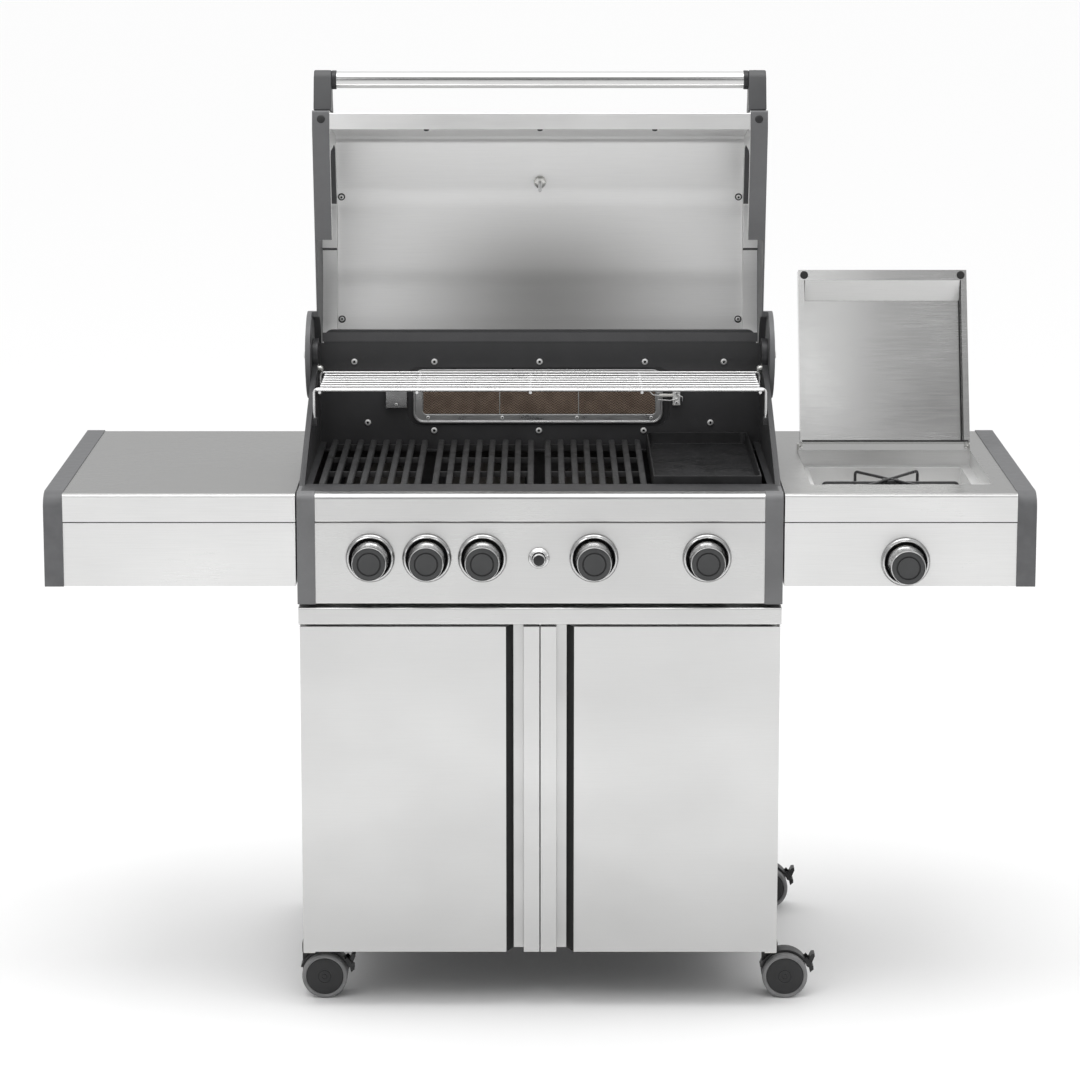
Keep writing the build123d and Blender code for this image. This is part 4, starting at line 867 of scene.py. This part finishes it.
LIP_PLUG = [(0, -2), (6.6, -2), (6.8, 0.4), (6.2, 1.2), (4.5, 1.6), (0, 1.7)]
TUBE_COLLAR = [(14.1, -5), (15.4, -5), (16.0, -4.4), (16.0, 2.4), (15.6, 2.8), (14.1, 2.8), (14.1, -5)]
EAR_CAP = [
    (0, -0.5), (58, -0.5), (58, 0.6), (57, 1.6), (52, 2.0), (50, 1.2), (22, 1.2), (20, 2.6), (14, 3.0),
    (0, 3.0),
]
WASHER = [(0, 0.05), (6.4, 0.05), (6.4, 0.5), (5.6, 0.9), (0, 0.9)]
EAR_X = 0.399                    # metres from the middle to where each ear cap sits
LINING_SCREW_X = 0.3465
LINING_SCREW_Z = (1.2705, 1.057)
for side, name in ((-1, "left"), (1, "right")):
    outward = Vector((side, 0, 0))
    lip = HOOD.at(side * 368, 393, -145)
    turned(f"lip_plug_{name}", "hood", BLACK_PLASTIC, lip, -HOOD.up, LIP_PLUG, 48, 40)
    tube_end = HOOD.at(side * 348.4, 462, -114)
    turned(f"tube_collar_{name}", "hood", BLACK_PLASTIC, tube_end, outward, TUBE_COLLAR, 64, 40)
    ear = Vector((side * EAR_X, HOOD.pivot.y, HOOD.pivot.z))
    turned(f"ear_cap_{name}", "hood", CASTING_GREY_LIT, ear, outward, EAR_CAP, 96, 30)
    screws(f"ear_bolt_{name}", "hood", [(ear + Vector((side * 0.003, 0, 0)), outward)], 8.0, 4.0)
    # Two screws near each edge of the lining, on dark washers.
    lining_places = []
    for height in LINING_SCREW_Z:
        start = Vector((side * LINING_SCREW_X, FRONT_Y + 0.2, height))
        lining_places.append(surface("hood_inner_skin", start, -FRONT))
    washers = bmesh.new()
    for place, normal in lining_places:
        add_turned(washers, place, normal, WASHER, 32)
    smooth_by_angle(built(washers, f"lining_washers_{name}", "hood", BLACK_PLASTIC), 40)
    screws(f"lining_screws_{name}", "hood", [(p + n * 0.0007, n) for p, n in lining_places], 4.2, 2.6)

rivet_places = [(HOOD.at(x, 376.2, -140), -HOOD.forward) for x in (-191, 0, 193)]
screws("lip_rivets", "hood", rivet_places, 4.4, 2.8, BLACK_PLASTIC)

# Thermometer: case, dial and needle outside, nut and probe inside.
GAUGE_TILT = math.radians(66.0)      # from forward towards up, with the lid shut
GAUGE_CASE = [
    (0, 0), (30.6, 0), (31.6, 0.8), (31.9, 2.2), (31.9, 6.8), (31.2, 8.4), (29.6, 9.3), (28.0, 9.0),
    (27.4, 7.8), (27.2, 5.2), (0, 5.2),
]
GAUGE_DIAL = [(0, 5.3), (27.0, 5.3), (27.0, 5.8), (0, 5.8)]
gauge_out = (HOOD.forward * math.cos(GAUGE_TILT) + HOOD.up * math.sin(GAUGE_TILT)).normalized()
gauge_seat = HOOD.at(0, 313.1, 99.1)
case = turned("gauge_case", "hood", CHROME, gauge_seat, gauge_out, GAUGE_CASE, 96, 35)
dial = turned("gauge_dial", "hood", DIAL_FACE, gauge_seat, gauge_out, GAUGE_DIAL, 96)
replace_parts(case, "hood_thermometer")
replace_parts(dial, "hood_thermometer")
across = Vector((-1, 0, 0))
upright = gauge_out.cross(across).normalized()


def on_dial(radius, degrees, height):
    """A point above the dial, degrees clockwise from the top as read from outside."""
    turn = math.radians(degrees)
    spoke = across * math.sin(turn) * radius + upright * math.cos(turn) * radius
    return gauge_seat + (spoke + gauge_out * height) * MM


DIAL_START = -135                # degrees clockwise from the top
DIAL_SWEEP = 270
NUMBER_STEPS = 7
TICKS_PER_NUMBER = 4
TICK_STEPS = NUMBER_STEPS * TICKS_PER_NUMBER
ticks = bmesh.new()
for tick in range(TICK_STEPS + 1):
    degrees = DIAL_START + tick * DIAL_SWEEP / TICK_STEPS
    inner, half = (20.5, 0.55) if tick % TICKS_PER_NUMBER == 0 else (22.8, 0.3)
    corners = []
    for radius, side in ((inner, -1), (25.2, -1), (25.2, 1), (inner, 1)):
        spread = math.degrees(half * side / radius)
        corners.append(ticks.verts.new(on_dial(radius, degrees + spread, 5.9)))
    ticks.faces.new(corners)
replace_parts(built(ticks, "gauge_ticks", "hood", BLACK_PLASTIC), "hood_thermometer")

NEEDLE_CORNERS = ((21, -134), (21, -136), (6, 38), (6, 52))     # radius and degrees on the dial
needle = bmesh.new()
add_turned(needle, gauge_seat, gauge_out, [(0, 5.9), (3.0, 5.9), (3.0, 6.6), (2.4, 7.0), (0, 7.0)], 32)
points = [needle.verts.new(on_dial(*corner, height)) for height in (6.2, 6.5) for corner in NEEDLE_CORNERS]
for ids in ((4, 5, 7, 6), (0, 2, 3, 1), (0, 1, 5, 4), (1, 3, 7, 5), (3, 2, 6, 7), (2, 0, 4, 6)):
    needle.faces.new([points[i] for i in ids])
bmesh.ops.recalc_face_normals(needle, faces=needle.faces)
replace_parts(built(needle, "gauge_needle", "hood", BLACK_PLASTIC), "hood_thermometer")

for step in range(NUMBER_STEPS + 1):
    text = bpy.data.curves.new(f"gauge_number_{step}", "FONT")
    text.body = str(50 * step)
    text.size = 4.6 * MM
    text.align_x = "CENTER"
    text.align_y = "CENTER"
    text.extrude = 0.05 * MM
    mesh = mesh_of(f"gauge_number_{step}", text)
    place = on_dial(16.2, DIAL_START + step * DIAL_SWEEP / NUMBER_STEPS, 5.85)
    for vertex in mesh.vertices:
        vertex.co = place + across * vertex.co.x + upright * vertex.co.y + gauge_out * vertex.co.z
    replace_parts(new_piece(f"gauge_number_{step}", mesh, "hood", BLACK_PLASTIC), "hood_thermometer")

GAUGE_GLASS = [(0, 7.6), (27.0, 7.6), (27.0, 8.2), (18, 8.7), (0, 9.0)]
glass = turned("gauge_glass", "hood", GLASS, gauge_seat, gauge_out, GAUGE_GLASS, 96)
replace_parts(glass, "hood_thermometer")

# A round flange and the hexagon nut on it. Rings 1 to 3 of the nut are its hexagonal sides.
NUT_FLANGE = [(3.2, 26.6), (11, 26.6), (11, 27.8), (3.2, 27.8), (3.2, 26.6)]
NUT_HEXAGON = [(3.2, 27.8), (8.6, 27.8), (9.0, 28.4), (9.0, 33.0), (7.8, 33.8), (3.2, 33.8), (3.2, 27.8)]
nut_bm = bmesh.new()
add_turned(nut_bm, gauge_seat, -gauge_out, NUT_FLANGE, 48)
add_turned(nut_bm, gauge_seat, -gauge_out, NUT_HEXAGON, 48, (1, 2, 3))
nut = built(nut_bm, "gauge_nut", "hood", ZINC)
smooth_by_angle(nut, 35)
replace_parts(nut, "hood_thermometer")
probe = turned("gauge_probe", "hood", WIRE_CHROME, gauge_seat, -gauge_out,
               [(0, -0.2), (3, 0), (3, 69.6), (2.6, 71.0), (1.4, 71.9), (0, 72)], 32, 40)
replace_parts(probe, "hood_thermometer")

# ---------------------------------------------------------------- side burner lid and pan
def lid_strip(name, material, left, right, outline):
    """A strip across the side lid: outline is a loop of (forward, up) points in millimetres."""
    bm = bmesh.new()
    loops = [[bm.verts.new(SIDE_LID.at(x, *point)) for point in outline] for x in (left, right)]
    bm.faces.new(loops[0])
    bm.faces.new(loops[1])
    for i in range(len(outline)):
        after = (i + 1) % len(outline)
        bm.faces.new((loops[0][i], loops[0][after], loops[1][after], loops[1][i]))
    bmesh.ops.recalc_face_normals(bm, faces=bm.faces)
    return built(bm, name, "side_lid", material)


BUMPER_LEVEL = -0.0312           # metres from the hinge along the lid's up axis


def on_bumper(centre, normal):
    """Faces of the side lid that are low enough to belong to its bumpers."""
    return (centre - SIDE_LID.pivot).dot(SIDE_LID.up) < BUMPER_LEVEL


side_cover = finished("side_lid", STAINLESS_SIDE, 0.5)
repaint(side_cover, BLACK_RUBBER, on_bumper)
finished("side_burner_pan", PAN_BRIGHT, 0.5)
lid_strip("side_lid_stiffener", STAINLESS_APRON_LIT, 454.0, 719.0, (
    (283.4, -30.6), (284.2, -29.8), (252.6, -7.7), (251.4, -8.7),
))
# A dark strip along the lid's hinge edge, as painted shade.
lid_strip("side_lid_hinge_shadow", BLACK_RUBBER, 445.0, 728.0, (
    (3.2, -31.6), (3.2, -30.6), (6.2, -30.6), (6.2, -31.6),
))
# Thin dark strips inside the side hems, as painted shade beside them.
SHADE_LINE = ((252, -9.4), (252, -7.6), (8, -7.6), (8, -9.4))
SHADE_LINE_HALF = 1.1
for name, x in (("left", 453.0), ("right", 719.0)):
    lid_strip(f"side_lid_shade_line_{name}", SHADOW_GAP, x - SHADE_LINE_HALF, x + SHADE_LINE_HALF, SHADE_LINE)
BUMPER = [(0, 1.5), (6.6, 1.5), (6.9, 1.9), (6.8, 2.4), (6.1, 2.8), (4.6, 3.0), (0, 3.05)]
for name, x in (("left", 452.5), ("right", 720.5)):
    seat = SIDE_LID.at(x, 292, -31 + 1.4)
    turned(f"lid_bumper_{name}", "side_lid", BLACK_RUBBER, seat, -SIDE_LID.up, BUMPER, 40, 40)

# ---------------------------------------------------------------- casters
TYRE = [
    (30.6, 8.4), (32.0, 7.4), (34.6, 7.1), (36.4, 7.9), (37.3, 9.6), (37.5, 12.0), (37.5, 20.5), (37.2, 22.8),
    (36.2, 24.4), (34.4, 25.0), (32.2, 24.8), (30.9, 24.0), (30.6, 23.0), (30.6, 8.4),
]
DISC = [
    (0, 8.0), (30.4, 8.0), (30.4, 23.2), (29.9, 23.9), (29.0, 24.1), (20, 23.9), (10.9, 23.8), (10.6, 23.3),
    (9.9, 23.3), (9.6, 23.8), (4.6, 23.9), (4.3, 23.4), (3.6, 23.4), (3.3, 23.9), (0, 23.95),
]
AXLE = [(0, -8), (3.95, -8), (3.95, 8), (0, 8)]
for corner in ("front_left", "front_right", "rear_left", "rear_right"):
    finished(f"caster_housing_{corner}", BLACK_PLASTIC, 0.8)
    finished(f"caster_brake_{corner}", BLACK_PLASTIC, 0.8)
    wheels = f"caster_wheels_{corner}"
    centre = middle(wheels)
    for facing, direction in (("front", FRONT), ("back", -FRONT)):
        tyre = turned(f"tyre_{corner}_{facing}", BODY_OF[wheels], TREAD, centre, direction, TYRE, 96, 40)
        disc = turned(f"hub_{corner}_{facing}", BODY_OF[wheels], HUB_PLASTIC, centre, direction, DISC, 96, 30)
        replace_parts(tyre, wheels)
        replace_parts(disc, wheels)
    axle = turned(f"axle_{corner}", BODY_OF[wheels], ZINC, centre, FRONT, AXLE, 32, 40)
    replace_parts(axle, wheels)

# ---------------------------------------------------------------- floor, lights and camera
FLOOR_REACH = 60.0
floor_mesh = bpy.data.meshes.new("studio_floor")
floor_corners = [(x * FLOOR_REACH, y * FLOOR_REACH, 0) for x, y in ((-1, -1), (1, -1), (1, 1), (-1, 1))]
floor_mesh.from_pydata(floor_corners, [], [(0, 1, 2, 3)])
floor = bpy.data.objects.new("studio_floor", floor_mesh)
bpy.context.scene.collection.objects.link(floor)
floor_mesh.materials.append(Finish("floor_paint", (0.88, 0.88, 0.88), 0.0, 0.9).material)

# The surrounding light is strong overhead and weak straight in front of the grill, so that the steel
# isn't flat.
world = bpy.data.worlds.new("studio")
bpy.context.scene.world = world
world.use_nodes = True
sky = world.node_tree
look = sky.nodes.new("ShaderNodeTexCoord")
axes = sky.nodes.new("ShaderNodeSeparateXYZ")
sky.links.new(look.outputs["Generated"], axes.inputs["Vector"])


def sky_range(socket, start, stop, low, high):
    """The sky's strength, going softly from low to high as a direction goes from start to stop."""
    node = sky.nodes.new("ShaderNodeMapRange")
    node.interpolation_type = "SMOOTHSTEP"
    for name, value in (("From Min", start), ("From Max", stop), ("To Min", low), ("To Max", high)):
        node.inputs[name].default_value = value
    sky.links.new(socket, node.inputs["Value"])
    return node.outputs["Result"]


overhead = sky_range(axes.outputs["Z"], 0.25, 0.85, 0.66, 1.40)
ahead = sky_range(axes.outputs["Y"], -0.98, -0.55, 0.25, 1.0)
product = sky.nodes.new("ShaderNodeMath")
product.operation = "MULTIPLY"
sky.links.new(overhead, product.inputs[0])
sky.links.new(ahead, product.inputs[1])
background = sky.nodes["Background"]
background.inputs["Color"].default_value = (1.0, 1.0, 1.0, 1.0)
sky.links.new(product.outputs["Value"], background.inputs["Strength"])


def softbox(name, place, target, size, power):
    """A rectangular studio light aimed at a point, with its size in metres and its power in watts."""
    light = bpy.data.lights.new(name, "AREA")
    light.shape = "RECTANGLE"
    light.size, light.size_y = size
    light.energy = power
    holder = bpy.data.objects.new(name, light)
    holder.location = place
    holder.rotation_euler = (Vector(target) - Vector(place)).to_track_quat("-Z", "Y").to_euler()
    bpy.context.scene.collection.objects.link(holder)


softbox("left_strip", (-1.05, -1.8, 2.15), (-0.5, 0.2, 1.1), (1.1, 0.75), 4.8)
softbox("right_strip", (0.58, -1.8, 2.15), (0.45, 0.2, 1.1), (0.30, 0.75), 0.6)
softbox("top_light", (0, -0.6, 4.2), (0, 0, 0.8), (3.0, 1.6), 48)

CAMERA_PITCH = 9.48              # degrees below level
camera = bpy.data.cameras.new("photo_camera")
camera.lens = 115.7
camera.shift_y = -0.15
viewer = bpy.data.objects.new("photo_camera", camera)
viewer.location = (0.0, -5.7315, 1.9565)
viewer.rotation_euler = (math.radians(90 - CAMERA_PITCH), 0, 0)
bpy.context.scene.collection.objects.link(viewer)
bpy.context.scene.camera = viewer
bpy.context.scene.view_settings.view_transform = "Standard"
